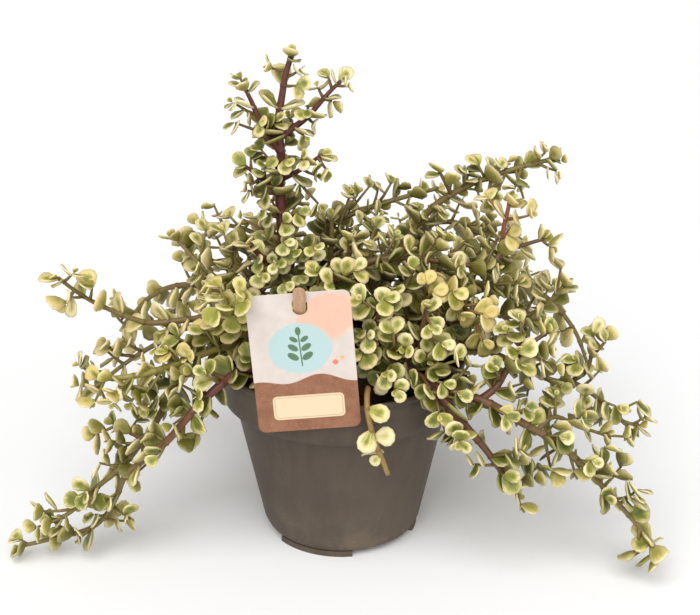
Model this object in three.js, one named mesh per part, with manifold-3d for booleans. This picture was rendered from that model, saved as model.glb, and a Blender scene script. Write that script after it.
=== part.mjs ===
import * as THREE from "three";
import { ConvexGeometry } from "three/addons/geometries/ConvexGeometry.js";
import { mergeVertices } from "three/addons/utils/BufferGeometryUtils.js";
import Module from "manifold-3d";

const wasm = await Module();
wasm.setup();

// A variegated portulacaria in a 12 cm grower's pot, with a care card on a flat wooden stick.
// Millimetres, +Z up. The origin is the middle of the pot's underside, -Y is the front.

const clearance = 0.4;
const degree = Math.PI / 180;

const pot = {
  sides: 26,
  footHeight: 2.4,
  baseRadius: 40.5,
  cornerRadius: 5,
  bodyTopRadius: 54.6,
  ringHeight: 75.4,
  ringRadius: 60,
  rimRadius: 62.4,
  height: 97.4,
  wall: 1.4,
};

const foot = { hubRadius: 12, reach: 39, sweep: 60 * degree, firstStart: -142 * degree };
const drain = { radius: 3, distance: 27 };

const soil = {
  sides: 16,
  top: 86.6,
  crown: 1.6,
  edgeDrop: 1.8,
  ripple: 0.7,
  holeFloor: 74,
  holeSides: 5,
  holeMargin: 1,
};

const card = {
  width: 47.5,
  height: 68.5,
  thickness: 0.6,
  cornerRadius: 3.5,
  bottom: [-14.2, -64.6, 87.2],
  roll: 4.5 * degree,
  leanBack: 2 * degree,
  slotWidth: 7,
  slotHeight: 8.8,
  slotFromTop: 6.4,
  slotAcross: 0.6,
};

const stick = { width: 5.6, thickness: 1, length: 99, lean: 24 * degree, headAbove: 12 };

const leaf = { length: 10.2, widthShare: 0.84, thickness: 1.9, buriedShare: 0.3 };

// How leaves and stems grow: the run from one pair of leaves to the next and the turn between
// them, the angle that a leaf makes with its stem, and the straight foot of each stem in the soil
const growth = {
  pitch: 10.5,
  turn: 104,
  spread: 62,
  tipSpread: 38,
  tipRun: 26,
  tipShrink: 0.25,
  shootBare: 8,
  rootDepth: 74.4,
  aboveSoil: 88,
  barStep: 18,
};

// Each leafy stem: the hole that it stands in, its radius at the foot and at the tip, how far up it
// is bare, the points that it grows through, and its side shoots, which start inside it.
const leafyStems = [
  {
    name: "leafy_stem_leader",
    hole: [-24, 8],
    radius: [4.2, 1.3],
    bare: 92,
    route: [
      [-24, 8, 104], [-26, 9, 131], [-29, 10, 159], [-30, 12, 184], [-29, 12, 196], [-30, 12, 211],
      [-28, 12, 224], [-26, 11, 235], [-23, 10, 245],
    ],
    shoots: [
      {
        radius: [1.9, 0.9],
        route: [[-29, 12, 196], [-34, 10, 205], [-39, 8, 215], [-42, 7, 223], [-45, 6, 230]],
      },
      {
        radius: [1.9, 0.9],
        route: [[-29, 12, 204], [-23, 14, 208], [-16, 16, 213], [-6, 18, 224], [0, 18, 230]],
      },
      { radius: [1.5, 0.8], route: [[-30, 12, 178], [-38, 8, 184], [-42, 5, 189], [-46, 2, 193]] },
      { radius: [1.5, 0.8], route: [[-30, 12, 182], [-20, 10, 188], [-14, 8, 193], [-9, 7, 197]] },
      {
        radius: [2.6, 1.2],
        route: [[-27, 9, 137], [-33, 2, 141], [-37, -2, 146], [-41, -5, 152], [-44, -7, 157]],
      },
      { radius: [1.9, 1.1], route: [[-24, 8, 112], [-19, 5, 123], [-16, 3, 137], [-17, 2, 150]] },
    ],
  },
  {
    name: "leafy_stem_left_high",
    hole: [-38, 14],
    radius: [2.5, 1],
    bare: 30,
    route: [[-45, 14, 106], [-52, 14, 115], [-63, 22, 126], [-75, 30, 134], [-85, 36, 143]],
    shoots: [
      { radius: [1.5, 0.9], route: [[-52, 14, 115], [-53, 15, 130], [-53, 16, 146]] },
      { radius: [1.7, 1], route: [[-45, 14, 106], [-49, 7, 118], [-56, 1, 127], [-65, -4, 132]] },
    ],
  },
  {
    name: "leafy_stem_left_back_high",
    hole: [-20, 36],
    radius: [2.4, 1],
    bare: 32,
    route: [[-26, 37, 115], [-32, 39, 135], [-45, 46, 141], [-58, 54, 142], [-75, 60, 141]],
    shoots: [{ radius: [1.7, 1], route: [[-26, 37, 115], [-29, 30, 124], [-31, 27, 136], [-31, 28, 149]] }],
  },
  {
    name: "leafy_stem_left_long",
    hole: [-44, -6],
    radius: [2.6, 1],
    bare: 32,
    route: [
      [-52, -7, 108], [-62, -8, 118], [-74, -12, 119], [-91, -16, 119], [-100, -18, 122],
      [-113, -20, 129], [-123, -22, 136], [-134, -25, 147],
    ],
  },
  {
    name: "leafy_stem_left_middle",
    hole: [-48, 4],
    radius: [2.4, 1],
    bare: 30,
    route: [
      [-57, 2, 107], [-68, 0, 110], [-82, -2, 108], [-93, -6, 102], [-102, -8, 97], [-114, -12, 89],
      [-122, -15, 81],
    ],
    shoots: [{ radius: [1.1, 0.8], route: [[-102, -8, 97], [-110, -13, 101], [-114, -16, 107]] }],
  },
  {
    name: "leafy_stem_left_green",
    hole: [-36, -15],
    radius: [2.6, 1.3],
    bare: 30,
    route: [
      [-42, -17, 104], [-49, -20, 109], [-62, -28, 110], [-72, -33, 108], [-90, -43, 106],
      [-104, -47, 105], [-114, -49, 106],
    ],
    shoots: [
      {
        radius: [1.8, 1.1],
        route: [[-42, -17, 104], [-45, -29, 118], [-50, -43, 134], [-50, -57, 146], [-46, -69, 154]],
      },
      { radius: [1.7, 1.1], route: [[-49, -20, 109], [-54, -27, 118], [-60, -34, 127]] },
    ],
  },
  {
    name: "leafy_stem_left_trailing_inner",
    hole: [-43, -17],
    radius: [2.9, 1.2],
    bare: 34,
    route: [
      [-53, -17, 107], [-66, -16, 110], [-75, -20, 104], [-81, -27, 93], [-88, -34, 78], [-96, -38, 67],
      [-106, -40, 54], [-119, -42, 43], [-131, -43, 31], [-138, -44, 26],
    ],
    shoots: [{ radius: [1.5, 0.9], route: [[-96, -38, 67], [-104, -32, 68], [-112, -28, 70]] }],
  },
  {
    name: "leafy_stem_left_trailing_outer",
    hole: [-30, -34],
    radius: [2.8, 1.1],
    bare: 34,
    route: [
      [-38, -37, 103], [-46, -39, 106], [-54, -45, 103], [-62, -51, 98], [-72, -54, 88], [-80, -52, 77],
      [-88, -50, 68], [-104, -46, 52], [-110, -42, 38], [-117, -38, 24], [-127, -37, 15],
      [-148, -41, 11], [-160, -43, 9],
    ],
    shoots: [{ radius: [1.5, 0.9], route: [[-54, -45, 103], [-62, -47, 108], [-70, -48, 108]] }],
  },
  {
    name: "leafy_stem_front_cut",
    hole: [13, -38],
    radius: [1.5, 1.2],
    bare: 51,
    cut: true,
    route: [
      [12.5, -45, 97], [12.5, -55, 103.5], [12, -63, 103], [12.5, -67.5, 97], [15, -68, 85],
      [19, -66.5, 73], [22, -64.5, 63],
    ],
  },
  {
    name: "leafy_stem_right_trailing",
    hole: [20, -22],
    radius: [3.1, 1.1],
    bare: 34,
    route: [
      [23, -28, 98], [29, -38, 106], [38, -46.4, 104], [51, -52, 101], [63, -54, 98], [74, -55, 93],
      [85, -56, 86], [101, -56, 76], [114, -56, 64], [126, -55, 50], [137, -55, 37], [147, -56, 25],
      [153, -57, 17],
    ],
    shoots: [
      {
        radius: [2.8, 1.1],
        route: [
          [38, -46.4, 104], [47, -53, 98], [57, -58, 87], [68, -60, 74], [76, -61, 62], [84, -61, 51],
        ],
      },
      {
        radius: [2, 1],
        route: [[65, -54, 97], [73, -50, 102], [79, -48, 112], [90, -45, 123], [96, -44, 127]],
      },
      { radius: [1.6, 1], route: [[33, -42, 105.5], [38, -52, 108], [41, -60, 106]] },
      { radius: [1.4, 0.8], route: [[92, -56, 81.5], [101, -50, 86], [112, -48, 80], [126, -46, 74]] },
      { radius: [1.8, 1.1], route: [[22, -26, 95], [16, -31, 110], [16, -37, 126], [19, -42, 141]] },
      { radius: [1.8, 1.1], route: [[29, -38, 106], [34, -38, 116], [38, -39, 127], [40, -40, 138]] },
      { radius: [1.6, 1.1], route: [[24, -30, 100], [25, -40, 109], [25, -48, 120]] },
      { radius: [1.7, 1.1], route: [[38, -46.4, 104], [48, -39, 107], [60, -38, 101]] },
    ],
  },
  {
    name: "leafy_stem_right_middle",
    hole: [30, -2],
    radius: [2.8, 1],
    bare: 30,
    route: [
      [38, -2, 104], [49, -2, 110], [64, -10, 105], [76, -14, 101], [90, -17, 95], [103, -18, 89],
      [115, -18, 87], [125, -20, 81], [138, -22, 69], [147, -24, 67],
    ],
    shoots: [
      { radius: [1.5, 0.8], route: [[112, -18, 87.5], [121, -14, 93], [123, -12, 106], [123, -11, 112]] },
      { radius: [1.9, 1.1], route: [[38, -2, 104], [33, -9, 118], [30, -16, 134], [34, -23, 150]] },
      { radius: [1.7, 1.1], route: [[49, -2, 110], [58, -12, 119], [68, -19, 122], [78, -24, 116]] },
    ],
  },
  {
    name: "leafy_stem_right_upturned",
    hole: [35, 14],
    radius: [2.6, 1],
    bare: 30,
    route: [
      [45, 14, 106], [56, 14, 116], [68, 13, 115], [80, 12, 110], [93, 12, 110], [102, 12, 116],
      [109, 12, 124], [111, 12, 128],
    ],
    shoots: [
      { radius: [1.8, 1.1], route: [[45, 14, 106], [45, 17, 121], [51, 19, 136], [63, 20, 148]] },
      { radius: [1.7, 1.1], route: [[56, 14, 116], [64, 8, 126], [74, 3, 131], [87, 0, 133]] },
    ],
  },
  {
    name: "leafy_stem_arching_right",
    hole: [-6, -12],
    radius: [3, 1.3],
    bare: 40,
    route: [
      [-11, -8, 112], [-11, -6, 127], [-6, -8, 136], [4, -9, 143], [15, -10, 149], [30, -10, 151],
      [47, -8, 148], [62, -6, 145], [71, -5, 141],
    ],
    shoots: [
      { radius: [1.8, 1], route: [[62, -6, 145], [73, -3, 145], [78, 0, 149], [90, 4, 152], [99, 6, 154]] },
      { radius: [1.4, 1.1], route: [[78, 0, 149], [78, -2, 162], [79, -4, 170], [80, -6, 178]] },
      { radius: [1.9, 1.1], route: [[-11, -8, 112], [-4, -3, 126], [3, 1, 141], [4, 1, 156]] },
    ],
  },
  {
    name: "leafy_stem_back_middle",
    hole: [-2, 32],
    radius: [2.8, 1.1],
    bare: 36,
    route: [[-6, 35, 118], [-9, 38, 144], [1, 42, 151], [17, 46, 156], [31, 50, 159], [50, 56, 162]],
    shoots: [{ radius: [1.8, 1.1], route: [[-6, 35, 118], [-6, 28, 130], [-5, 26, 144], [-5, 28, 157]] }],
  },
  {
    name: "leafy_stem_right_high",
    hole: [16, 30],
    radius: [3, 1.2],
    bare: 36,
    route: [
      [20, 32, 110], [28, 34, 130], [36, 36, 146], [47, 36, 160], [62, 36, 170], [75, 37, 175],
      [87, 38, 179], [105, 38, 184],
    ],
    shoots: [
      { radius: [1.4, 0.8], route: [[55, 36, 166], [52, 32, 173], [48, 30, 181]] },
      { radius: [1.8, 1.1], route: [[20, 32, 110], [14, 26, 123], [13, 24, 138], [17, 27, 152]] },
    ],
  },
  {
    name: "leafy_stem_right_back_high",
    hole: [25, 38],
    radius: [2.5, 1],
    bare: 34,
    route: [[31, 46, 114], [37, 54, 132], [46, 60, 140], [60, 66, 139], [74, 70, 131], [96, 72, 127]],
  },
  {
    name: "leafy_stem_cream",
    hole: [26, -11],
    radius: [2, 0.9],
    bare: 34,
    route: [[34, -15, 112], [41, -18, 134], [49, -23, 140], [56, -27, 135], [64, -33, 126]],
  },
  {
    name: "leafy_stem_back_01",
    hole: [34, 26],
    radius: [2.5, 1],
    bare: 30,
    route: [[42, 34, 108], [54, 46, 122], [70, 60, 124], [86, 72, 112], [98, 80, 92], [106, 84, 72]],
  },
  {
    name: "leafy_stem_back_02",
    hole: [13, 42],
    radius: [2.5, 1],
    bare: 30,
    route: [[19, 50, 110], [28, 68, 122], [37, 88, 118], [43, 104, 98], [47, 112, 76]],
  },
  {
    name: "leafy_stem_back_03",
    hole: [1, 44],
    radius: [2.6, 1],
    bare: 30,
    route: [[0, 54, 110], [-2, 74, 120], [-6, 96, 108], [-8, 110, 86], [-10, 118, 62]],
  },
  {
    name: "leafy_stem_back_04",
    hole: [-12, 43],
    radius: [2.4, 1],
    bare: 30,
    route: [[-17, 52, 110], [-26, 72, 121], [-36, 90, 112], [-43, 102, 92], [-47, 108, 72]],
  },
  {
    name: "leafy_stem_back_05",
    hole: [-32, 29],
    radius: [2.5, 1],
    bare: 30,
    route: [[-41, 38, 109], [-56, 54, 121], [-74, 69, 112], [-88, 79, 92], [-96, 83, 70]],
  },
  {
    name: "leafy_stem_back_06",
    hole: [-43, 23],
    radius: [2.4, 1],
    bare: 30,
    route: [[-54, 28, 106], [-74, 38, 115], [-96, 46, 108], [-112, 51, 90], [-120, 54, 68]],
  },
  {
    name: "leafy_stem_back_07",
    hole: [44, 19],
    radius: [2.4, 1],
    bare: 30,
    route: [[53, 23, 107], [66, 28, 115], [86, 34, 120], [106, 39, 108], [122, 42, 88], [131, 44, 66]],
  },
];

const colours = {
  pot: { color: 0x645a50, roughness: 0.72, metalness: 0 },
  soil: { color: 0x2a211b, roughness: 1, metalness: 0 },
  leaves: { color: 0x9fae5f, roughness: 0.5, metalness: 0 },
  card: { color: 0xefdcd6, roughness: 0.7, metalness: 0 },
  stick: { color: 0xc9a27c, roughness: 0.8, metalness: 0 },
};

function material(finish) {
  return new THREE.MeshStandardMaterial(finish);
}

// Solids and the joins and cuts between them

function toSolid(geometry) {
  const bare = geometry.clone();
  bare.deleteAttribute("normal");
  bare.deleteAttribute("uv");
  const merged = mergeVertices(bare, 1e-4);
  return new wasm.Manifold(new wasm.Mesh({
    numProp: 3,
    vertProperties: new Float32Array(merged.attributes.position.array),
    triVerts: new Uint32Array(merged.index.array),
  }));
}

function toGeometry(solid) {
  const mesh = solid.getMesh();
  const geometry = new THREE.BufferGeometry();
  geometry.setAttribute("position", new THREE.BufferAttribute(mesh.vertProperties, 3));
  geometry.setIndex(new THREE.BufferAttribute(mesh.triVerts, 1));
  return geometry;
}

function joined(solids) {
  return wasm.Manifold.union(solids);
}

function upright(radius, bottom, top, sides, x = 0, y = 0) {
  const geometry = new THREE.CylinderGeometry(radius, radius, top - bottom, sides);
  geometry.rotateX(Math.PI / 2);
  geometry.translate(x, y, (bottom + top) / 2);
  return toSolid(geometry);
}

function turned(profile, sides) {
  const points = profile.map(([radius, height]) => new THREE.Vector2(radius, height));
  const geometry = new THREE.LatheGeometry(points, sides);
  geometry.rotateX(Math.PI / 2);
  return geometry;
}

// Numbers that look random and are the same on each run

function makeDraw(seed) {
  let state = 7919 * seed;
  return () => {
    state = (state * 16807) % 2147483647;
    return state / 2147483647;
  };
}

// The pot: a tapering body, a collar that steps out from it, a rolled rim and three low feet

function wallRadius(height) {
  const floorRadius = pot.baseRadius - pot.wall;
  const shelf = pot.ringHeight + pot.wall;
  if (height < shelf) {
    return THREE.MathUtils.mapLinear(height, 0, shelf, floorRadius, pot.bodyTopRadius - pot.wall);
  }
  const [low, high] = [pot.ringRadius - pot.wall, pot.rimRadius - 2 * pot.wall];
  return THREE.MathUtils.mapLinear(height, shelf, pot.height, low, high);
}

function makePot() {
  const { footHeight, cornerRadius, baseRadius, ringHeight, ringRadius, rimRadius, height, wall } = pot;
  const floor = footHeight + wall;
  const outside = [[0, footHeight], [baseRadius - cornerRadius, footHeight]];
  for (const turn of [45, 90]) {
    const along = baseRadius - cornerRadius + cornerRadius * Math.sin(turn * degree);
    outside.push([along, footHeight + cornerRadius * (1 - Math.cos(turn * degree))]);
  }
  outside.push(
    [pot.bodyTopRadius, ringHeight],
    [ringRadius, ringHeight],
    [rimRadius - 1.2, height - 3.4],
    [rimRadius, height - 2.6],
    [rimRadius, height - 0.8],
    [rimRadius - 1, height],
    [wallRadius(height), height - 1],
  );
  const inside = [
    [wallRadius(ringHeight + wall + 0.01), ringHeight + wall],
    [wallRadius(ringHeight), ringHeight + wall],
    [wallRadius(floor) - 0.2, floor + 3.4],
    [baseRadius - cornerRadius - 0.6, floor],
    [0, floor],
  ];
  let body = toSolid(turned([...outside, ...inside], pot.sides));
  body = joined([body, upright(foot.hubRadius, 0, footHeight + wall / 2, 18)]);
  for (let third = 0; third < 3; third += 1) {
    const start = foot.firstStart + third * 120 * degree;
    const middle = start + foot.sweep / 2 + 60 * degree;
    const outline = new THREE.Shape();
    outline.absarc(0, 0, foot.hubRadius - 1, start + foot.sweep, start, true);
    outline.absarc(0, 0, foot.reach, start, start + foot.sweep, false);
    const sector = new THREE.ExtrudeGeometry(outline, {
      depth: footHeight + wall / 2,
      bevelEnabled: false,
      curveSegments: 6,
    });
    body = joined([body, toSolid(sector)]);
    const [x, y] = [drain.distance * Math.cos(middle), drain.distance * Math.sin(middle)];
    body = body.subtract(upright(drain.radius, footHeight - 1, floor + 1, 8, x, y));
  }
  return body;
}

// The soil fills the pot to about a centimetre below the rim and is slightly heaped and uneven

function makeSoil(stems) {
  const shelf = pot.ringHeight + pot.wall + clearance;
  const floor = pot.footHeight + pot.wall + clearance;
  const edge = wallRadius(soil.top - soil.edgeDrop) - clearance;
  const profile = [
    [0, floor],
    [pot.baseRadius - pot.cornerRadius - 1.6, floor],
    [wallRadius(floor + 3.4) - 1, floor + 4],
    [wallRadius(pot.ringHeight) - clearance - 0.2, shelf],
    [wallRadius(shelf + 0.1) - clearance - 0.2, shelf],
    [edge, soil.top - soil.edgeDrop],
    [edge * 0.86, soil.top],
    [edge * 0.6, soil.top + soil.crown * 0.6],
    [0, soil.top + soil.crown],
  ];
  const geometry = turned(profile, soil.sides);
  const position = geometry.attributes.position;
  for (let i = 0; i < position.count; i += 1) {
    const [x, y, z] = [position.getX(i), position.getY(i), position.getZ(i)];
    if (z > soil.top - 0.1) {
      position.setZ(i, z + soil.ripple * (Math.sin(x * 0.31 + y * 0.17) + Math.sin(y * 0.37 - x * 0.11)));
    }
  }
  let body = toSolid(geometry);
  for (const { hole, radius } of stems) {
    const reach = (radius[0] + soil.holeMargin) / Math.cos(Math.PI / soil.holeSides);
    body = body.subtract(upright(reach, soil.holeFloor, soil.top + 8, soil.holeSides, hole[0], hole[1]));
  }
  return body.subtract(toSolid(makeStick(clearance)));
}

// The care card and its stick: the stick stands in the soil behind the card and comes out
// to the front through the slot near the card's upper edge

function cardFrame() {
  const frame = new THREE.Matrix4().makeTranslation(...card.bottom);
  frame.multiply(new THREE.Matrix4().makeRotationX(-card.leanBack));
  frame.multiply(new THREE.Matrix4().makeRotationY(-card.roll));
  return frame;
}

function makeCard() {
  const [half, r] = [card.width / 2, card.cornerRadius];
  const outline = new THREE.Shape();
  outline.absarc(half - r, r, r, -Math.PI / 2, 0, false);
  outline.absarc(half - r, card.height - r, r, 0, Math.PI / 2, false);
  outline.absarc(r - half, card.height - r, r, Math.PI / 2, Math.PI, false);
  outline.absarc(r - half, r, r, Math.PI, Math.PI * 1.5, false);
  const slot = new THREE.Path();
  const slotMiddle = card.height - card.slotFromTop;
  const slotReach = (card.slotHeight - card.slotWidth) / 2;
  slot.absarc(card.slotAcross, slotMiddle + slotReach, card.slotWidth / 2, 0, Math.PI, false);
  slot.absarc(card.slotAcross, slotMiddle - slotReach, card.slotWidth / 2, Math.PI, Math.PI * 2, false);
  outline.holes.push(slot);
  const geometry = new THREE.ExtrudeGeometry(outline, {
    depth: card.thickness,
    bevelEnabled: false,
    curveSegments: 3,
  });
  geometry.rotateX(Math.PI / 2);
  geometry.translate(0, card.thickness / 2, 0);
  geometry.applyMatrix4(cardFrame());
  return geometry;
}

function makeStick(margin = 0) {
  const half = stick.width / 2 + margin;
  const outline = new THREE.Shape();
  outline.moveTo(-half, -stick.length - margin);
  outline.lineTo(half, -stick.length - margin);
  outline.absarc(0, -stick.width / 2, half, 0, Math.PI, false);
  outline.closePath();
  const geometry = new THREE.ExtrudeGeometry(outline, {
    depth: stick.thickness + 2 * margin,
    bevelEnabled: false,
    curveSegments: 6,
  });
  geometry.translate(0, stick.headAbove, -stick.thickness / 2 - margin);
  geometry.rotateX(Math.PI / 2 + stick.lean);
  const crossing = new THREE.Vector3(card.slotAcross, 0, card.height - card.slotFromTop);
  crossing.applyMatrix4(cardFrame());
  return geometry.translate(crossing.x, crossing.y, crossing.z);
}

// A stem is a round bar bent along its route and tapered from foot to tip

function makeCurve(points) {
  const vectors = points.map((point) => new THREE.Vector3(...point));
  return new THREE.CatmullRomCurve3(vectors, false, "catmullrom", 0.5);
}

function sideways(points) {
  const start = new THREE.Vector3(...points[0]);
  const across = new THREE.Vector3(...points[points.length - 1]).sub(start);
  return new THREE.Vector3(-across.y, across.x, 0).normalize();
}

function frameAt(curve, share, side) {
  const along = curve.getTangentAt(share);
  const across = side.clone().addScaledVector(along, -side.dot(along)).normalize();
  const over = along.clone().cross(across);
  return { middle: curve.getPointAt(share), along, across, over };
}

function ringShares(length, foot) {
  const steps = Math.max(2, Math.round((length - foot) / growth.barStep));
  const shares = foot > 0 ? [0] : [];
  for (let step = 0; step <= steps; step += 1) {
    shares.push(THREE.MathUtils.lerp(foot / length, 1, step / steps));
  }
  return shares;
}

function onStraights(curve, share, shares) {
  const after = Math.max(1, shares.findIndex((ring) => ring >= share));
  const [low, high] = [shares[after - 1], shares[after]];
  return curve.getPointAt(low).lerp(curve.getPointAt(high), (share - low) / (high - low));
}

function bentBar(curve, side, [footRadius, tipRadius], sides, shares) {
  const steps = shares.length - 1;
  const geometry = new THREE.CylinderGeometry(1, 1, 1, sides, steps);
  const position = geometry.attributes.position;
  for (let i = 0; i < position.count; i += 1) {
    const share = shares[Math.round((position.getY(i) + 0.5) * steps)];
    const frame = frameAt(curve, share, side);
    const radius = THREE.MathUtils.lerp(footRadius, tipRadius, share);
    const point = frame.middle
      .addScaledVector(frame.across, position.getX(i) * radius)
      .addScaledVector(frame.over, -position.getZ(i) * radius);
    position.setXYZ(i, point.x, point.y, point.z);
  }
  return toSolid(geometry);
}

// A fleshy leaf is narrow at its root, widest past the middle and blunt at its tip, low behind
// and crowned in front. It lies along X from the origin with its face towards Z.

const leafShape = new ConvexGeometry([
  new THREE.Vector3(0, 0, 0.5),
  new THREE.Vector3(0.4, -0.48, 0.1),
  new THREE.Vector3(0.4, 0.48, 0.1),
  new THREE.Vector3(0.94, -0.36, 0),
  new THREE.Vector3(0.94, 0.36, 0),
  new THREE.Vector3(0.5, 0, 1),
]);

function makeLeaf(length, matrix, margin = 0) {
  const size = new THREE.Vector3(length, length * leaf.widthShare, leaf.thickness);
  const geometry = leafShape.clone().translate(-0.5, 0, -0.5);
  geometry.scale(size.x + 2 * margin, size.y + 2 * margin, size.z + 2 * margin);
  geometry.translate(size.x / 2, 0, 0);
  return toSolid(geometry.applyMatrix4(matrix));
}

function makeLeafEnd(length, matrix) {
  const geometry = leafShape.clone().translate(-0.5, 0, -0.5).scale(0.7, 0.8, 0.8).translate(0.65, 0, 0);
  geometry.scale(length, length * leaf.widthShare, leaf.thickness);
  return toSolid(geometry.applyMatrix4(matrix));
}

function leafPlace(frame, azimuth, spread, buried) {
  const out = frame.across.clone().multiplyScalar(Math.cos(azimuth));
  out.addScaledVector(frame.over, Math.sin(azimuth));
  const along = out.multiplyScalar(Math.sin(spread)).addScaledVector(frame.along, Math.cos(spread));
  const face = frame.along.clone().multiplyScalar(0.7).add(new THREE.Vector3(0, 0, 0.7));
  face.addScaledVector(along, -face.dot(along)).normalize();
  const side = face.clone().cross(along);
  const root = frame.middle.clone().addScaledVector(along, -buried);
  return new THREE.Matrix4().makeBasis(along, side, face).setPosition(root);
}

// Pairs of leaves sit opposite each other, each pair a little over a quarter turn on from the last,
// up to a closer pair at the tip. Every second pair is kept, and the pair at the tip always is.

function leafNodes(curve, bare, cut, draw) {
  const length = curve.getLength();
  const stations = [];
  let reached = bare;
  while (reached < length - growth.pitch * 0.6) {
    stations.push(reached);
    reached += growth.pitch * (0.85 + 0.3 * draw());
  }
  if (!cut) {
    stations.push(length - 1.2);
  }
  return stations.map((station, index) => {
    const fromTip = stations.length - 1 - index;
    const nearTip = THREE.MathUtils.smoothstep(station, length - growth.tipRun, length);
    const spread = THREE.MathUtils.lerp(growth.spread, growth.tipSpread, nearTip);
    return {
      kept: fromTip === 0 || fromTip % 2 === 1,
      share: Math.min(station / length, 1),
      azimuth: (index * growth.turn + 45 + (draw() - 0.5) * 30) * degree,
      spread: (spread + (draw() - 0.5) * 16) * degree,
      sizes: [draw(), draw()].map((share) => (0.85 + 0.3 * share) * (1 - growth.tipShrink * nearTip)),
    };
  });
}

function boxesMeet(a, b) {
  return [0, 1, 2].every((axis) => a.min[axis] < b.max[axis] && b.min[axis] < a.max[axis]);
}

const placed = [];

function place(solid, owner) {
  placed.push({ solid, owner, box: solid.boundingBox() });
}

function crosses(solid, tested) {
  const box = solid.boundingBox();
  return placed.some((other) =>
    tested(other.owner) && boxesMeet(box, other.box) && !solid.intersect(other.solid).isEmpty());
}

function hasRoom(length, matrix, owner) {
  const roomy = makeLeaf(length, matrix, clearance);
  if (roomy.boundingBox().min[2] < 2 * clearance || crosses(roomy, (other) => other !== owner)) {
    return false;
  }
  return !crosses(makeLeafEnd(length, matrix), (other) => other === owner);
}

function addLeaves(limb, owner, draw) {
  const leaves = [];
  const [footRadius, tipRadius] = limb.radius;
  for (const node of leafNodes(limb.curve, limb.bare, limb.cut, draw)) {
    const frame = frameAt(limb.curve, node.share, limb.side);
    frame.middle = onStraights(limb.curve, node.share, limb.shares);
    const inside = THREE.MathUtils.lerp(footRadius, tipRadius, node.share);
    const buried = leaf.buriedShare * inside;
    for (const half of [0, 1]) {
      const length = leaf.length * node.sizes[half] + inside + buried;
      for (const turn of node.kept ? [0, 25, -25, 50, -50] : []) {
        const azimuth = node.azimuth + (half * 180 + turn) * degree;
        const matrix = leafPlace(frame, azimuth, node.spread, buried);
        if (hasRoom(length, matrix, owner)) {
          const blade = makeLeaf(length, matrix);
          leaves.push(blade);
          place(blade, owner);
          break;
        }
      }
    }
  }
  return leaves;
}

function limbsOf(stem) {
  const foot = [[...stem.hole, growth.rootDepth], [...stem.hole, growth.aboveSoil]];
  const main = {
    ...stem,
    route: [...foot, ...stem.route],
    foot: growth.aboveSoil - growth.rootDepth,
    sides: stem.radius[0] < 3 ? 4 : 5,
  };
  const shoots = (stem.shoots ?? []).map((shoot) => ({ ...shoot, bare: growth.shootBare, sides: 3 }));
  return [main, ...shoots].map((limb) => {
    const side = sideways(limb.route);
    const curve = makeCurve(limb.route);
    const shares = ringShares(curve.getLength(), limb.foot ?? 0);
    return { ...limb, side, curve, shares, bar: bentBar(curve, side, limb.radius, limb.sides, shares) };
  });
}

function makeLeafyStems() {
  const limbs = leafyStems.map(limbsOf);
  limbs.forEach((own, index) => own.forEach((limb) => place(limb.bar, index)));
  return limbs.map((own, index) => {
    const draw = makeDraw(index + 1);
    const leaves = own.flatMap((limb) => addLeaves(limb, index, draw));
    return joined([...own.map((limb) => limb.bar), ...leaves]);
  });
}

const group = new THREE.Group();

function add(name, geometry, finish) {
  const mesh = new THREE.Mesh(geometry, material(finish));
  mesh.name = name;
  group.add(mesh);
}

const potSolid = makePot();
const cardGeometry = makeCard();
const stickGeometry = makeStick();

place(potSolid, "pot");
place(toSolid(cardGeometry), "card");
place(toSolid(stickGeometry), "stick");

const soilSolid = makeSoil(leafyStems);
place(soilSolid, "soil");

add("pot", toGeometry(potSolid), colours.pot);
add("soil", toGeometry(soilSolid), colours.soil);
makeLeafyStems().forEach((solid, index) => add(leafyStems[index].name, toGeometry(solid), colours.leaves));
add("tag_card", cardGeometry, colours.card);
add("tag_stick", stickGeometry, colours.stick);

export default group;
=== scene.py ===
# Potted portulaca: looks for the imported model.
# Metres, +Z up, front towards -Y.
import bisect
import math
import random

import bmesh
import bpy
from mathutils import Euler, Matrix, Vector
from mathutils.bvhtree import BVHTree


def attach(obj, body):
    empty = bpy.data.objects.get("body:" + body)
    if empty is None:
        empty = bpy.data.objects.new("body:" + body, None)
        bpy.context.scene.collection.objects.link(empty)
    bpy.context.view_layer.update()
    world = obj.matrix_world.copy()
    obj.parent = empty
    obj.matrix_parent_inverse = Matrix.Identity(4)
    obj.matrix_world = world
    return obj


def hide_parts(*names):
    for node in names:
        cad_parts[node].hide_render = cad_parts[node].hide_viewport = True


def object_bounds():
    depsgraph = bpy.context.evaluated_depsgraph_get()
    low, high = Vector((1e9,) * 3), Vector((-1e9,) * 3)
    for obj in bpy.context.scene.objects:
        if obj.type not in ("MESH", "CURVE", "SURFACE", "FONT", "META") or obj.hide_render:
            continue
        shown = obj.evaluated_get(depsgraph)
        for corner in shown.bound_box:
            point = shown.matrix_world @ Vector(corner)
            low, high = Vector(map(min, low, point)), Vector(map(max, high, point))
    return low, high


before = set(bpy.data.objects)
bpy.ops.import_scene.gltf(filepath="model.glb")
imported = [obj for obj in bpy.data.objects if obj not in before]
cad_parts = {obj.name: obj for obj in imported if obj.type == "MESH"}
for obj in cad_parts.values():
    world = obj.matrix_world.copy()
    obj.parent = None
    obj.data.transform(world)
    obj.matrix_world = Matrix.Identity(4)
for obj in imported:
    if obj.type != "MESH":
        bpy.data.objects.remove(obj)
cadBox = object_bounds()
mm = 0.001
up = Vector((0, 0, 1))


# small helpers for modelling by hand

def deselectAll():
    if bpy.context.mode != "OBJECT":
        bpy.ops.object.mode_set(mode="OBJECT")
    bpy.ops.object.select_all(action="DESELECT")


def editMode():
    bpy.ops.object.mode_set(mode="EDIT")
    bpy.ops.mesh.select_mode(type="VERT")


def objectMode():
    bpy.ops.object.mode_set(mode="OBJECT")


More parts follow.
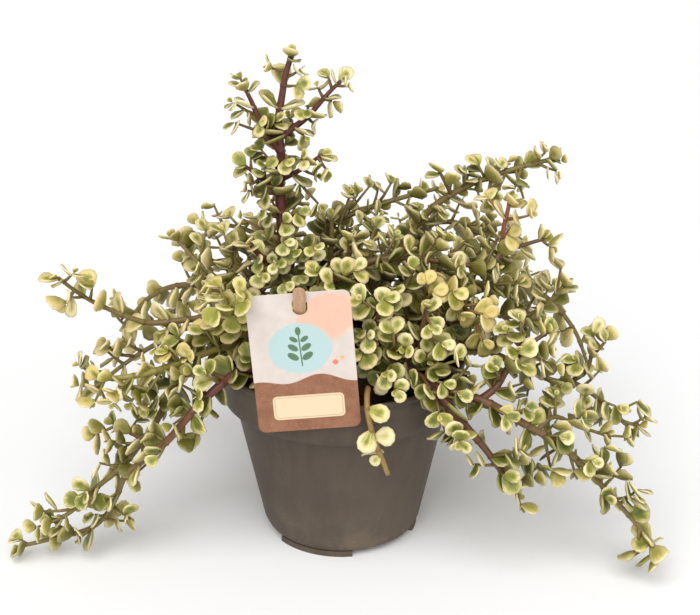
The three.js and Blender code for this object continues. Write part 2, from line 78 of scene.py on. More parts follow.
def selectAll():
    bpy.ops.mesh.select_all(action="SELECT")


def faceOutwards():
    selectAll()
    bpy.ops.mesh.normals_make_consistent(inside=False)


def extrudeUp(rise):
    bpy.ops.mesh.extrude_region_move(TRANSFORM_OT_translate={"value": (0, 0, rise)})


def slide(x, y, z):
    bpy.ops.transform.translate(value=(x, y, z))


def stretch(x, y, z, middle=(0, 0, 0)):
    bpy.ops.transform.resize(value=(x, y, z), center_override=middle)


def turned(degrees, axis):
    return Matrix.Rotation(math.radians(degrees), 4, axis)


def clearMaps(mesh):
    while mesh.uv_layers:
        mesh.uv_layers.remove(mesh.uv_layers[0])


def pickVerts(test):
    mesh = bpy.context.edit_object.data
    shape = bmesh.from_edit_mesh(mesh)
    for vert in shape.verts:
        vert.select_set(test(vert.co))
    shape.select_flush(False)
    shape.select_flush(True)
    bmesh.update_edit_mesh(mesh)


def chooseOnly(piece):
    deselectAll()
    piece.select_set(True)
    bpy.context.view_layer.objects.active = piece


def applyModifiers(piece):
    chooseOnly(piece)
    for modifier in list(piece.modifiers):
        bpy.ops.object.modifier_apply(modifier=modifier.name)


def joinAll(pieces, name):
    deselectAll()
    for piece in pieces:
        piece.select_set(True)
    bpy.context.view_layer.objects.active = pieces[0]
    if len(pieces) > 1:
        bpy.ops.object.join()
    joined = bpy.context.view_layer.objects.active
    joined.name = name
    joined.data.name = name
    return joined


def setPlace(piece, matrix):
    # the place goes into the mesh and the object stays at the origin
    piece.data.transform(matrix)
    piece.data.update()


def cutWith(piece, cutter, operation="DIFFERENCE"):
    step = piece.modifiers.new("cut", "BOOLEAN")
    step.operation = operation
    step.object = cutter
    step.solver = "EXACT"
    applyModifiers(piece)
    bpy.data.objects.remove(cutter)


def roundEdges(piece, width, segments, degrees):
    # a narrow bevel on the edges that turn by more than so many degrees
    bevel = piece.modifiers.new("edges", "BEVEL")
    bevel.width = width * mm
    bevel.segments = segments
    bevel.limit_method = "ANGLE"
    bevel.angle_limit = math.radians(degrees)
    applyModifiers(piece)


def smoothByAngle(piece, degrees):
    chooseOnly(piece)
    bpy.ops.object.shade_smooth_by_angle(angle=math.radians(degrees))


def dress(piece, material, slot, *nodes):
    piece.data.materials.clear()
    piece.data.materials.append(material)
    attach(piece, "root")
    if nodes:
        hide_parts(*nodes)


# shader maths

class Flow:
    # one output of a node, which makes the next node when it is used in a sum
    def __init__(self, tree, socket=None):
        self.tree = tree
        self.socket = socket

    def node(self, kind, settings=None, sockets=None, output=0):
        made = self.tree.nodes.new(kind)
        for key, value in (settings or {}).items():
            setattr(made, key, value)
        for key, value in (sockets or {}).items():
            if isinstance(value, Flow):
                self.tree.links.new(value.socket, made.inputs[key])
            else:
                made.inputs[key].default_value = value
        return Flow(self.tree, made.outputs[output])

    def maths(self, operation, *others):
        sockets = {0: self}
        sockets.update({index + 1: other for index, other in enumerate(others)})
        return self.node("ShaderNodeMath", {"operation": operation}, sockets)

    def __add__(self, other):
        return self.maths("ADD", other)

    __radd__ = __add__

    def __sub__(self, other):
        return self.maths("SUBTRACT", other)

    def __rsub__(self, other):
        return (self * -1.0) + other

    def __mul__(self, other):
        return self.maths("MULTIPLY", other)

    __rmul__ = __mul__

    def __truediv__(self, other):
        return self.maths("DIVIDE", other)

    def __pow__(self, other):
        return self.maths("POWER", other)

    def __abs__(self):
        return self.maths("ABSOLUTE")

    def least(self, other):
        return self.maths("MINIMUM", other)

    def most(self, other):
        return self.maths("MAXIMUM", other)

    def smooth(self, low, high, start=0.0, end=1.0):
        sockets = {"Value": self, "From Min": low, "From Max": high, "To Min": start, "To Max": end}
        return self.node("ShaderNodeMapRange", {"interpolation_type": "SMOOTHSTEP"}, sockets)

    def parts(self):
        made = self.node("ShaderNodeSeparateXYZ", None, {0: self})
        return [Flow(self.tree, socket) for socket in made.socket.node.outputs]

    def stretched(self, x, y, z):
        sockets = {0: self, 1: (x, y, z)}
        return self.node("ShaderNodeVectorMath", {"operation": "MULTIPLY"}, sockets)

    def noise(self, scale, detail=3.0, roughness=0.55):
        sockets = {"Vector": self, "Scale": scale, "Detail": detail, "Roughness": roughness}
        return self.node("ShaderNodeTexNoise", None, sockets)

    def cells(self, scale):
        return self.node("ShaderNodeTexVoronoi", None, {"Vector": self, "Scale": scale})

    def mix(self, first, second):
        sockets = {0: self, 6: first, 7: second}
        return self.node("ShaderNodeMix", {"data_type": "RGBA"}, sockets, 2)

    def shaded(self, amount):
        # a colour made darker or lighter by a number
        grey = self.node("ShaderNodeCombineXYZ", None, {0: amount, 1: amount, 2: amount})
        return self.node("ShaderNodeVectorMath", {"operation": "MULTIPLY"}, {0: self, 1: grey})


def linear(channel):
    value = channel / 255
    return value / 12.92 if value <= 0.04045 else ((value + 0.055) / 1.055) ** 2.4


def tint(red, green, blue):
    # a colour as it shows on screen, 0 to 255
    return (linear(red), linear(green), linear(blue), 1)


def newMaterial(name, fixed):
    material = bpy.data.materials.new(name)
    material.use_nodes = True
    tree = material.node_tree
    shader = tree.nodes["Principled BSDF"]
    for key, value in fixed.items():
        shader.inputs[key].default_value = value
    return material, Flow(tree), shader


def feed(flow, shader, name):
    flow.tree.links.new(flow.socket, shader.inputs[name])


def feedBump(flow, shader, strength, distance):
    sockets = {"Height": flow, "Strength": strength, "Distance": distance}
    feed(flow.node("ShaderNodeBump", None, sockets), shader, "Normal")


def coordinates(flow):
    return flow.node("ShaderNodeTexCoord", None, None, 3)


def attribute(flow, name, output=0):
    return flow.node("ShaderNodeAttribute", {"attribute_name": name}, None, output)


# camera, light and floor

studio = {
    "cameraPlace": (0.0042, -0.7102, 0.4436),
    "cameraPitch": 24.5,
    "lens": 81.4,
    "sensor": 36,
    "nearest": 0.01,
    "floorSize": 30,
    "world": (1.0, 0.4),
    "floorShade": tint(249, 249, 249),
    # strength, softness in degrees, how high it stands and how far to the left, in degrees
    "key": (2.75, 60, 50, 12),
    # place, size, watts, colour
    "fill": ((0.75, -0.65, 0.65), 0.8, 1.2, (0.97, 0.98, 1.0)),
}


def addCamera():
    place = studio["cameraPlace"]
    turn = (math.radians(90 - studio["cameraPitch"]), 0, 0)
    bpy.ops.object.camera_add(location=place, rotation=turn)
    camera = bpy.context.object
    camera.data.lens = studio["lens"]
    camera.data.sensor_width = studio["sensor"]
    camera.data.clip_start = studio["nearest"]
    bpy.context.scene.camera = camera


def addKey():
    strength, softness, height, left = studio["key"]
    turn = (math.radians(90 - height), 0, math.radians(-left))
    bpy.ops.object.light_add(type="SUN", location=(-0.3, -0.6, 1.0), rotation=turn)
    light = bpy.context.object
    light.name = "key"
    light.data.energy = strength
    light.data.angle = math.radians(softness)


def addFill():
    place, size, watts, shade = studio["fill"]
    bpy.ops.object.light_add(type="AREA", location=place)
    light = bpy.context.object
    light.name = "fill"
    light.data.shape = "DISK"
    light.data.size = size
    light.data.energy = watts
    light.data.color = shade
    light.rotation_euler = (Vector((0, 0, 0.1)) - Vector(place)).to_track_quat("-Z", "Y").to_euler()


def addStudio():
    deselectAll()
    addCamera()
    addKey()
    addFill()
    world = bpy.data.worlds.new("paleRoom")
    world.use_nodes = True
    background = world.node_tree.nodes["Background"]
    shade, strength = studio["world"]
    background.inputs[0].default_value = (shade, shade, shade, 1)
    background.inputs[1].default_value = strength
    bpy.context.scene.world = world
    bpy.context.scene.view_settings.view_transform = "Standard"
    deselectAll()
    bpy.ops.mesh.primitive_plane_add(size=studio["floorSize"])
    floor = bpy.context.object
    floor.name = "floor"
    fixed = {"Base Color": studio["floorShade"], "Roughness": 0.9}
    material = newMaterial("paleFloor", fixed)[0]
    floor.data.materials.append(material)


addStudio()
print("studio made")


# pot

potLook = {
    "sides": 96,
    "outside": [
        (40.5 - 5 * 0.62, 2.6), (40.5 - 5 * 0.29, 3.9), (40.5, 7.0), (44.6, 27.0), (49.0, 48.5),
        (53.4, 70.0), (54.4, 74.8), (55.2, 75.6), (59.2, 75.4), (60.0, 76.2), (60.3, 79.0),
        (60.9, 86.4), (60.95, 87.0), (61.35, 87.5), (61.4, 94.0), (62.0, 94.6), (62.4, 95.3),
        (62.4, 96.4), (62.0, 97.2), (61.2, 97.4), (60.3, 97.0), (59.7, 96.2),
    ],
    "inside": [
        (58.9, 78.0), (58.4, 76.9), (53.2, 76.7), (52.6, 75.8), (39.4, 7.4), (37.8, 5.2), (35.0, 3.8),
    ],
    "footHeight": 2.4,
    "hub": 12,
    "edges": (0.35, 2, 50),  # bevel width, steps, degrees
    "footReach": 39,
    "footSweep": 60,
    "footStart": -142,
    "footSteps": 14,
    "footSink": 0.6,  # added to the heights of a foot and of the hub, so that they meet the base
    "hubSink": 0.7,
    "drain": (27, 3, 1, 6),  # distance from the middle, radius, lower and upper end
    "shade": tint(89, 77, 65),
    "shadeLight": tint(107, 92, 77),
    "shadeDark": tint(73, 62, 52),
    # the pale tone of the spatter and of the lower band
    "paleTone": tint(146, 130, 110),
    "peat": tint(44, 33, 24),
}


def turnCircle(name, profile, sides):
    # a disc drawn up through a profile of radius and height, in millimetres
    deselectAll()
    radius, height = profile[0]
    bpy.ops.mesh.primitive_circle_add(vertices=sides, radius=radius * mm, fill_type="NGON")
    piece = bpy.context.object
    piece.name = name
    editMode()
    selectAll()
    slide(0, 0, height * mm)
    for nextRadius, nextHeight in profile[1:]:
        extrudeUp((nextHeight - height) * mm)
        scale = nextRadius / radius
        stretch(scale, scale, 1, (0, 0, nextHeight * mm))
        radius, height = nextRadius, nextHeight
    faceOutwards()
    objectMode()
    return piece


def footSector(start):
    # one raised sector under the pot, swept from a straight edge
    deselectAll()
    bpy.ops.mesh.primitive_plane_add(size=1)
    sector = bpy.context.object
    editMode()
    pickVerts(lambda place: place.y > 0)
    bpy.ops.mesh.delete(type="VERT")
    turn = math.radians(start)
    along = Vector((math.cos(turn), math.sin(turn), 0))
    shape = bmesh.from_edit_mesh(sector.data)
    for vert, reach in zip(shape.verts, (potLook["hub"] - 1, potLook["footReach"])):
        vert.co = along * reach * mm
    bmesh.update_edit_mesh(sector.data)
    selectAll()
    bpy.ops.mesh.spin(steps=potLook["footSteps"], angle=math.radians(-potLook["footSweep"]), axis=(0, 0, 1))
    selectAll()
    extrudeUp((potLook["footHeight"] + potLook["footSink"]) * mm)
    selectAll()
    bpy.ops.mesh.remove_doubles(threshold=1e-6)
    bpy.ops.mesh.normals_make_consistent(inside=False)
    objectMode()
    return sector


def uprightRod(radius, low, high, x=0.0, y=0.0, sides=32):
    deselectAll()
    bpy.ops.mesh.primitive_cylinder_add(
        vertices=sides,
        radius=radius * mm,
        depth=(high - low) * mm,
        location=(x * mm, y * mm, (low + high) / 2 * mm),
    )
    return bpy.context.object


def makePot():
    pot = turnCircle("pot_shell", potLook["outside"] + potLook["inside"], potLook["sides"])
    cutWith(pot, uprightRod(potLook["hub"], 0, potLook["footHeight"] + potLook["hubSink"]), "UNION")
    distance, bore, low, high = potLook["drain"]
    for third in range(3):
        start = potLook["footStart"] + 120 * third
        cutWith(pot, footSector(start), "UNION")
        middle = math.radians(start + potLook["footSweep"] / 2 + 60)
        x, y = distance * math.cos(middle), distance * math.sin(middle)
        cutWith(pot, uprightRod(bore, low, high, x, y, 24))
    roundEdges(pot, *potLook["edges"])
    smoothByAngle(pot, 40)
    return pot


def potMaterial():
    fixed = {"Roughness": 0.56, "Specular IOR Level": 0.35}
    material, flow, shader = newMaterial("taupePlastic", fixed)
    place = coordinates(flow)
    z = place.parts()[2]
    cloudy = place.noise(16, 3).smooth(0.3, 0.72)
    drawn = place.stretched(1, 1, 0.2).noise(150, 3).smooth(0.35, 0.75)
    base = cloudy.mix(potLook["shadeDark"], potLook["shade"])
    base = (drawn * 0.2).mix(base, potLook["shadeLight"])
    # dried spatter and a few crumbs of peat, mostly low down, and a paler, rougher band towards the bottom
    low = 1 - z.smooth(0.004, 0.034)
    # paler and rougher towards the bottom
    lowerBand = low * place.noise(70, 4).smooth(0.42, 0.7)
    specks = 1 - place.cells(330).smooth(0.07, 0.13)
    rare = place.noise(45, 1).smooth(0.5, 0.62)
    spatter = specks * (low * place.noise(38, 1).smooth(0.42, 0.52) + rare * 0.35).least(1.0)
    crumbs = (1 - place.cells(250).smooth(0.06, 0.1)) * place.noise(33, 1).smooth(0.55, 0.62)
    base = (lowerBand * 0.3 + spatter * 0.75).least(1.0).mix(base, potLook["paleTone"])
    base = (crumbs * 0.8).mix(base, potLook["peat"])
    feed(base, shader, "Base Color")
    grain = place.noise(2600, 2)
    feed(0.52 + grain * 0.14 + lowerBand * 0.2, shader, "Roughness")
    feedBump(grain + drawn * 0.3 + spatter * 0.5, shader, 0.22, 0.0004)
    return material


dress(makePot(), potMaterial(), "pot", "pot")
print("pot made")


# soil

soilLook = {
    "sides": 72,
    "body": [(33.6, 4.2), (37.0, 6.4), (38.8, 8.4), (51.6, 76.0), (51.9, 77.3), (57.9, 77.5), (58.8, 84.4)],
    "top": 86.6,
    "topFrom": 84,
    "ringStep": (58.8, 2.9),  # radius of the outer ring, and from ring to ring
    "reach": 58,
    "crown": 1.6,
    "edge": (0.86, 1.8),  # where it starts to fall, and by how much
    "ripple": 0.6,
    "fine": 0.45,
    "crumbs": 420,
    "crumbReach": 57,
    "crumbSize": (0.7, 2.3),
    "crumbUneven": (0.75, 1.25),
    "shade": tint(58, 46, 35),
    "shadeDark": tint(30, 22, 15),
    "fibre": tint(112, 84, 56),
}


def soilHeight(x, y):
    # millimetres, and a little uneven
    ripple = math.sin(x * 0.31 + y * 0.17) + math.sin(y * 0.37 - x * 0.11)
    fine = math.sin(x * 1.3 + 2.1 * math.sin(y * 0.9)) * math.sin(y * 1.1 + 1.7 * math.sin(x * 0.7))
    reach = min(math.hypot(x, y) / soilLook["reach"], 1)
    crown = soilLook["crown"] * (1 - reach * reach)
    start, fall = soilLook["edge"]
    edge = max(0, reach - start) / (1 - start) * fall
    return soilLook["top"] + crown - edge + soilLook["ripple"] * ripple + soilLook["fine"] * fine


def makeSoil():
    outer, step = soilLook["ringStep"]
    rings = [(outer - ring * step, soilLook["top"]) for ring in range(1, 20)]
    soil = turnCircle("soil_fill", soilLook["body"] + rings, soilLook["sides"])
    for vert in soil.data.vertices:
        if vert.co.z > soilLook["topFrom"] * mm:
            vert.co.z = soilHeight(vert.co.x / mm, vert.co.y / mm) * mm
    draw = random.Random(5)
    deselectAll()
    bpy.ops.mesh.primitive_ico_sphere_add(subdivisions=1, radius=1)
    crumbModel = bpy.context.object
    crumbs = []
    for _ in range(soilLook["crumbs"]):
        reach = soilLook["crumbReach"] * math.sqrt(draw.random())
        turn = draw.uniform(0, 2 * math.pi)
        x, y = reach * math.cos(turn), reach * math.sin(turn)
        size = draw.uniform(*soilLook["crumbSize"]) * mm / 2
        crumb = crumbModel.copy()
        crumb.data = crumbModel.data.copy()
        for vert in crumb.data.vertices:
            vert.co *= draw.uniform(*soilLook["crumbUneven"])
        place = Matrix.Translation((x * mm, y * mm, soilHeight(x, y) * mm + size * 0.2))
        spin = Matrix.Rotation(draw.uniform(0, 6), 4, "X") @ Matrix.Rotation(draw.uniform(0, 6), 4, "Z")
        shape = Matrix.Diagonal((size * draw.uniform(0.9, 1.9), size, size * draw.uniform(0.6, 1), 1))
        setPlace(crumb, place @ spin @ shape)
        bpy.context.scene.collection.objects.link(crumb)
        crumbs.append(crumb)
    bpy.data.objects.remove(crumbModel)
    soil = joinAll([soil] + crumbs, "soil_fill")
    smoothByAngle(soil, 45)
    return soil


def soilMaterial():
    material, flow, shader = newMaterial("peatSoil", {"Roughness": 0.95, "Specular IOR Level": 0.2})
    place = coordinates(flow)
    lumps = place.noise(240, 5, 0.65)
    fibres = place.stretched(1, 0.25, 0.6).noise(900, 3).smooth(0.6, 0.7)
    base = lumps.smooth(0.35, 0.7).mix(soilLook["shadeDark"], soilLook["shade"])
    feed((fibres * 0.5).mix(base, soilLook["fibre"]), shader, "Base Color")
    feedBump(lumps + fibres * 0.3, shader, 0.8, 0.001)
    return material


dress(makeSoil(), soilMaterial(), "soil", "soil")
print("soil made")


# care card and stick

cardLook = {
    "width": 47.5,
    "height": 68.5,
    "thickness": 0.6,
    "corner": 3.5,
    "edges": (0.08, 1, 60),
    "bottom": (-14.2, -64.6, 87.2),
    "roll": 4.5,
    "leanBack": 2,
    "slot": (7, 8.8),  # width, height
    "slotPlace": (0.6, 62.1),
    "paper": tint(208, 196, 187),
    "paperLight": tint(219, 208, 199),
    "kraft": tint(152, 106, 80),
    "kraftDark": tint(135, 90, 66),
    "fleck": tint(196, 154, 124),
    "label": tint(228, 204, 170),
    "disc": tint(176, 204, 204),
    "blush": tint(232, 178, 148),
    "sprig": tint(92, 122, 92),
    "dotOne": tint(222, 128, 104),
    "dotTwo": tint(224, 178, 98),
    "back": tint(236, 226, 214),
}


def cardPlace():
    turn = turned(-cardLook["leanBack"], "X") @ turned(-cardLook["roll"], "Y")
    return Matrix.Translation(Vector(cardLook["bottom"]) * mm) @ turn


def makeCard():
    deselectAll()
    bpy.ops.mesh.primitive_plane_add(size=1)
    card = bpy.context.object
    editMode()
    selectAll()
    stretch(cardLook["width"] * mm, cardLook["height"] * mm, 1)
    bpy.ops.mesh.bevel(offset=cardLook["corner"] * mm, segments=8, affect="VERTICES")
    selectAll()
    extrudeUp(cardLook["thickness"] * mm)
    faceOutwards()
    objectMode()
    # up along Z, the printed face towards -Y
    half = cardLook["thickness"] / 2 * mm
    stand = turned(90, "X") @ Matrix.Translation((0, 0, -half))
    setPlace(card, Matrix.Translation((0, 0, cardLook["height"] / 2 * mm)) @ stand)
    cutWith(card, slotCutter())
    roundEdges(card, *cardLook["edges"])
    addPrintMap(card)
    setPlace(card, cardPlace())
    smoothByAngle(card, 30)
    card.name = "care_card"
    return card


def slotCutter():
    width, height = cardLook["slot"]
    x, z = cardLook["slotPlace"]
    deselectAll()
    bpy.ops.mesh.primitive_cylinder_add(vertices=32, radius=width / 2 * mm, depth=4 * mm)
    cutter = bpy.context.object
    editMode()
    for side in (-1, 1):
        pickVerts(lambda place: place.y * side > 1e-6)
        slide(0, side * (height - width) / 2 * mm, 0)
    objectMode()
    setPlace(cutter, Matrix.Translation((x * mm, 0, z * mm)) @ turned(90, "X"))
    return cutter


def addPrintMap(card):
    mesh = card.data
    clearMaps(mesh)
    layer = mesh.uv_layers.new(name="cardMap")
    for loop in mesh.loops:
        place = mesh.vertices[loop.vertex_index].co / mm
        layer.data[loop.index].uv = (place.x / cardLook["width"] + 0.5, place.z / cardLook["height"])
    front = mesh.attributes.new("printed", "FLOAT", "FACE")
    for face in mesh.polygons:
        front.data[face.index].value = 1.0 if face.normal.y < -0.5 else 0.0


def spot(x, y, placeX, placeY, reachX, reachY, turn=0.0):
    # how far a point is from an oval's middle: 1 is on its edge
    across, along = x - placeX, y - placeY
    cosine, sine = math.cos(math.radians(turn)), math.sin(math.radians(turn))
    wide = (across * cosine + along * sine) / reachX
    tall = (along * cosine - across * sine) / reachY
    return (wide * wide + tall * tall) ** 0.5


def cardMaterial():
    material, flow, shader = newMaterial("printedCard", {"Roughness": 0.62, "Specular IOR Level": 0.35})
    chart = flow.node("ShaderNodeUVMap", {"uv_map": "cardMap"})
    u, v, _ = chart.parts()
    x = (u - 0.5) * cardLook["width"]
    y = v * cardLook["height"]
    place = coordinates(flow)
    mottle = place.noise(140, 4)
    fleck = place.noise(1500, 2).smooth(0.6, 0.72)
    wave = (x * 0.22).maths("SINE") * 1.5 + (x * 0.11 + 1.0).maths("SINE") * 1.2
    below = 1 - (y - wave).smooth(25.3, 25.7)
    paper = (mottle - 0.5).smooth(-0.2, 0.3).mix(cardLook["paper"], cardLook["paperLight"])
    wash = (mottle - 0.5) * 0.5
    blush = 1 - (spot(x, y, 13, 56, 15, 11, 20) + wash).smooth(0.85, 1.1)
    paper = (blush * 0.75).mix(paper, cardLook["blush"])
    disc = 1 - (spot(x, y, -1, 41.5, 14.5, 12.5) + wash * 0.4).smooth(0.97, 1.02)
    paper = (disc * 0.92).mix(paper, cardLook["disc"])
    paper = sprigMask(x, y).mix(paper, cardLook["sprig"])
    kraft = mottle.smooth(0.3, 0.7).mix(cardLook["kraft"], cardLook["kraftDark"])
    kraft = (fleck * 0.5).mix(kraft, cardLook["fleck"])
    label = 1 - roundedBox(x, y, 0.5, 12.0, 16.5, 6.0, 2.2).smooth(-0.15, 0.15)
    kraft = label.mix(kraft, cardLook["label"])
    rim = 1 - abs(roundedBox(x, y, 0.5, 12.0, 15.6, 5.1, 1.6)).smooth(0.1, 0.3)
    kraft = (rim * 0.35).mix(kraft, cardLook["kraftDark"])
    face = below.mix(paper, kraft)
    for key, placeX, placeY, size in (("dotOne", 14.5, 33.5, 1.3), ("dotTwo", 17.8, 35.6, 0.9)):
        dot = 1 - spot(x, y, placeX, placeY, size, size).smooth(0.9, 1.1)
        face = dot.mix(face, cardLook[key])
    printed = attribute(flow, "printed", 2)
    feed(printed.mix(cardLook["back"], face), shader, "Base Color")
    feed(0.5 + below * 0.18 + mottle * 0.1, shader, "Roughness")
    feedBump(mottle * 0.5 + fleck, shader, 0.08, 0.0003)
    return material


def roundedBox(x, y, placeX, placeY, halfX, halfY, corner):
    # distance to a rounded box's edge, below nothing inside it
    across = (abs(x - placeX) - (halfX - corner)).most(0.0)
    along = (abs(y - placeY) - (halfY - corner)).most(0.0)
    return (across * across + along * along) ** 0.5 - corner


def sprigMask(x, y):
    # a stalk with three pairs of rounded leaves and one at its tip
    stalk = 1 - abs(x + 1 + (y - 41) * 0.04).smooth(0.22, 0.42)
    shown = stalk * y.smooth(32.4, 32.8) * (1 - y.smooth(48.4, 48.8))
    for height, reach in ((35.6, 4.6), (40.2, 4.2), (44.6, 3.4)):
        for side in (-1, 1):
            middleX = -1.2 + side * (reach * 0.72)
            oval = spot(x, y, middleX, height + reach * 0.42, reach * 0.62, reach * 0.34, side * 34)
            shown = shown.most(1 - oval.smooth(0.93, 1.07))
    tip = spot(x, y, -1.35, 50.0, 1.3, 2.1)
    return shown.most(1 - tip.smooth(0.93, 1.07))


dress(makeCard(), cardMaterial(), "card", "tag_card")

stickLook = {
    "width": 5.6,
    "thickness": 1,
    "length": 99,
    "lean": 24,
    "headAbove": 12,
    "edges": (0.18, 2, 60),
    "wood": tint(194, 159, 126),
    "woodDark": tint(172, 133, 100),
}


def makeStick():
    half, length = stickLook["width"] / 2, stickLook["length"]
    deselectAll()
    bpy.ops.mesh.primitive_circle_add(vertices=32, radius=half * mm, fill_type="NGON")
    stick = bpy.context.object
    editMode()
    selectAll()
    slide(0, -half * mm, 0)
    pickVerts(lambda place: place.y < -half * mm - 1e-6)
    stretch(1, 0, 1, (0, -length * mm, 0))
    lower = [-half, half]
    shape = bmesh.from_edit_mesh(stick.data)
    for vert in shape.verts:
        if vert.select:
            vert.co.x = lower[vert.co.x > 0] * mm
    bmesh.update_edit_mesh(stick.data)
    selectAll()
    bpy.ops.mesh.remove_doubles(threshold=1e-6)
    extrudeUp(stickLook["thickness"] * mm)
    faceOutwards()
    objectMode()
    roundEdges(stick, *stickLook["edges"])
    x, z = cardLook["slotPlace"]
    crossing = cardPlace() @ Vector((x * mm, 0, z * mm))
    turn = turned(90 + stickLook["lean"], "X")
    rise = Matrix.Translation((0, stickLook["headAbove"] * mm, -stickLook["thickness"] / 2 * mm))
    setPlace(stick, Matrix.Translation(crossing) @ turn @ rise)
    smoothByAngle(stick, 40)
    stick.name = "card_stick"
    return stick


def woodMaterial():
    material, flow, shader = newMaterial("paleWood", {"Roughness": 0.7, "Specular IOR Level": 0.3})
    place = coordinates(flow)
    grain = place.stretched(1, 0.3, 0.05).noise(1400, 4, 0.6)
    wide = place.stretched(1, 0.3, 0.04).noise(420, 2)
    base = (grain * 0.6 + wide * 0.4).smooth(0.36, 0.66).mix(stickLook["wood"], stickLook["woodDark"])
    feed(base, shader, "Base Color")
    feedBump(grain, shader, 0.25, 0.0003)
    return material


dress(makeStick(), woodMaterial(), "stick", "tag_stick")
print("card and stick made")


# how the plant grows: the same rule as the solids, in millimetres

growth = {
    "pitch": 10.5,
    "lastPitch": 0.6,  # share of a pitch that is left free before the tip
    "tipBack": 1.2,
    "least": 0.85,  # least share of a pitch or a size, and what chance adds
    "chance": 0.3,
    "firstTurn": 45,
    "turn": 104,
    "turnSway": 30,
    "spread": 62,
    "spreadSway": 16,
    "tipSpread": 38,
    "tipRun": 26,
    "tipShrink": 0.25,
    "shootBare": 8,
    "rootDepth": 74.4,
    "aboveSoil": 88,
    "leafLength": 10.2,
}

